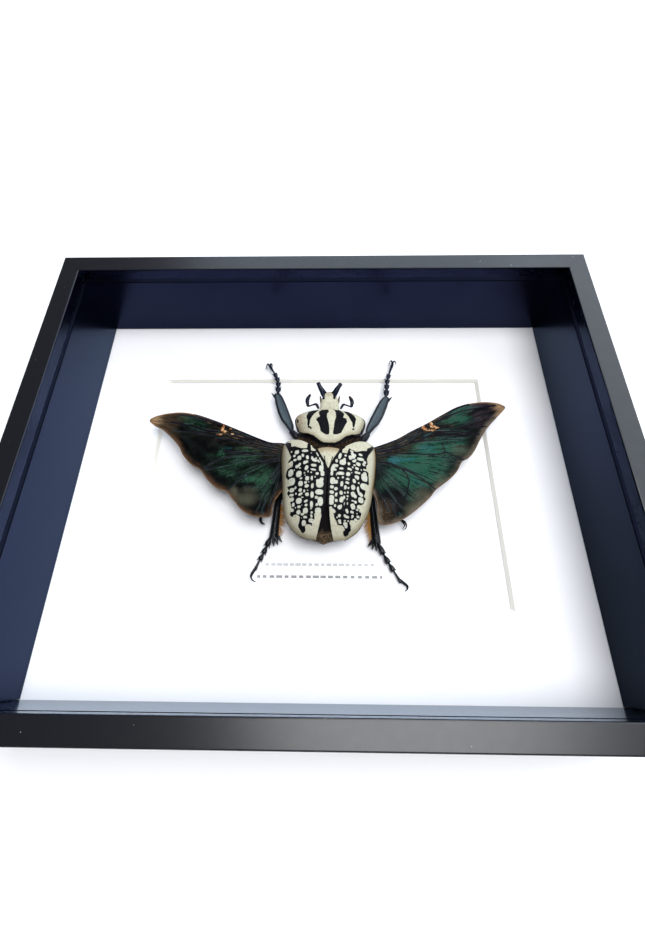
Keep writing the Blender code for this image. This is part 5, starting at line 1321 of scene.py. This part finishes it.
node_look(lacquer_look(), "rail_top", "rail_bottom", "rail_left", "rail_right")
node_look(card_look(), "spacer_top", "spacer_bottom", "spacer_left", "spacer_right")
node_look(mat_look(), "window_mat")
node_look(board_look(), "mount_board")
node_look(back_look(), "back_board")
node_look(steel_look(), "hanger", "hanger_rivet_left", "hanger_rivet_right",
          *(f"point_{n}" for n in range(1, 9)))
node_look(glass_look(), "glass_pane")

case_ivory = ivory_look("ivory wing case", wing_case=True)
ivory = ivory_look("ivory shell")
black = black_shell_look("black shell")
navy = black_shell_look("navy black horn", blue=1.0)
feeler = black_shell_look("dark feeler", warm=1.0, blue=0.8)
shin = fore_shin_look()
gold = hair_look("golden hair", (0.3, 0.13, 0.03), (0.78, 0.44, 0.13))
horn_brown = hair_look("brown spike", (0.03, 0.022, 0.015), (0.13, 0.1, 0.065))
brown = trunk_look()
down = hair_look("brown down", (0.03, 0.017, 0.009), (0.22, 0.14, 0.065))
membrane = wing_look()

for side, sign in SIDES.items():
    wing_case(side, sign, case_ivory)
scutellum(ivory)
pronotum(ivory)
head(ivory, navy, horn_brown)
trunk(brown)
neck(brown, down)
wing("left", WING_LEFT_LEAD, WING_LEFT_TRAIL, (-12.0, 12.0), membrane)
wing("right", WING_RIGHT_LEAD, WING_RIGHT_TRAIL, (20.0, 10.0), membrane)
fore_leg("left", [(-11.0, 21.0), (-13.0, 23.2)], (-15.5, 25.9), (-23.4, 47.9), shin)
fore_leg("right", [(20.0, 19.8), (21.9, 21.5)], (24.2, 24.4), (34.8, 47.3), shin)
mid_leg("left", (-12.6, 1.0), (-24.0, 5.0), (-27.4, -8.0), black)
mid_leg("right", (20.6, 1.0), (32.0, 4.0), (36.1, -9.0), black)
hind_leg("left", (-11.6, -12.0), (-20.4, -7.0), (-22.0, -29.4), black, gold)
hind_leg("right", (18.6, -12.0), (25.0, -9.0), (26.7, -31.9), black, gold)
for name, (joints, claws) in FEET.items():
    foot(name, FOOT_SIZES[name.split("_")[0]], joints, claws, navy if name.startswith("fore") else black)
for side, sign in SIDES.items():
    antenna(side, sign, feeler)


# The floor, the light and the camera

floor_mesh = bmesh.new()
bmesh.ops.create_grid(floor_mesh, x_segments=2, y_segments=2, size=3.0)
floor_data = bpy.data.meshes.new("floor")
floor_mesh.to_mesh(floor_data)
floor_mesh.free()
floor = bpy.data.objects.new("floor", floor_data)
bpy.context.scene.collection.objects.link(floor)
paper = Look("white paper floor", Roughness=0.9)
paper.feed(Base_Color=paper.mix(paper.noise(0.02), (0.93, 0.93, 0.94), (0.95, 0.95, 0.96)))
floor_data.materials.append(paper.material)


def area_light(name, place, size, power, colour):
    """A round soft light, aimed at the middle of the frame's back."""
    data = bpy.data.lights.new(name, 'AREA')
    data.shape = 'DISK'
    data.size = size
    data.energy = power
    data.color = colour
    made = bpy.data.objects.new(name, data)
    made.location = place
    made.rotation_euler = (-Vector(place)).to_track_quat('-Z', 'Y').to_euler()
    bpy.context.scene.collection.objects.link(made)


area_light("window light", (1.45, 0.8, 1.4), 2.1, 28.0, (0.82, 0.91, 1.0))
area_light("overhead softbox", (0.3, -0.1, 1.8), 1.3, 35.0, (0.98, 0.98, 1.0))
area_light("back strip", (0.2, 2.3, 1.75), 2.3, 31.0, (0.76, 0.87, 1.0))

world = bpy.data.worlds.new("soft room")
world.use_nodes = True
background = world.node_tree.nodes["Background"].inputs
background["Color"].default_value = (0.85, 0.86, 1.0, 1.0)
background["Strength"].default_value = 0.18
bpy.context.scene.world = world
bpy.context.scene.view_settings.view_transform = 'Standard'

camera_data = bpy.data.cameras.new("camera")
camera_data.lens = 16.409
camera_data.clip_start = 0.01
camera = bpy.data.objects.new("camera", camera_data)
camera.location = (0.00497, -0.08068, 0.21456)
camera.rotation_euler = (math.radians(23.829), math.radians(0.917), math.radians(0.59))
bpy.context.scene.collection.objects.link(camera)
bpy.context.scene.camera = camera
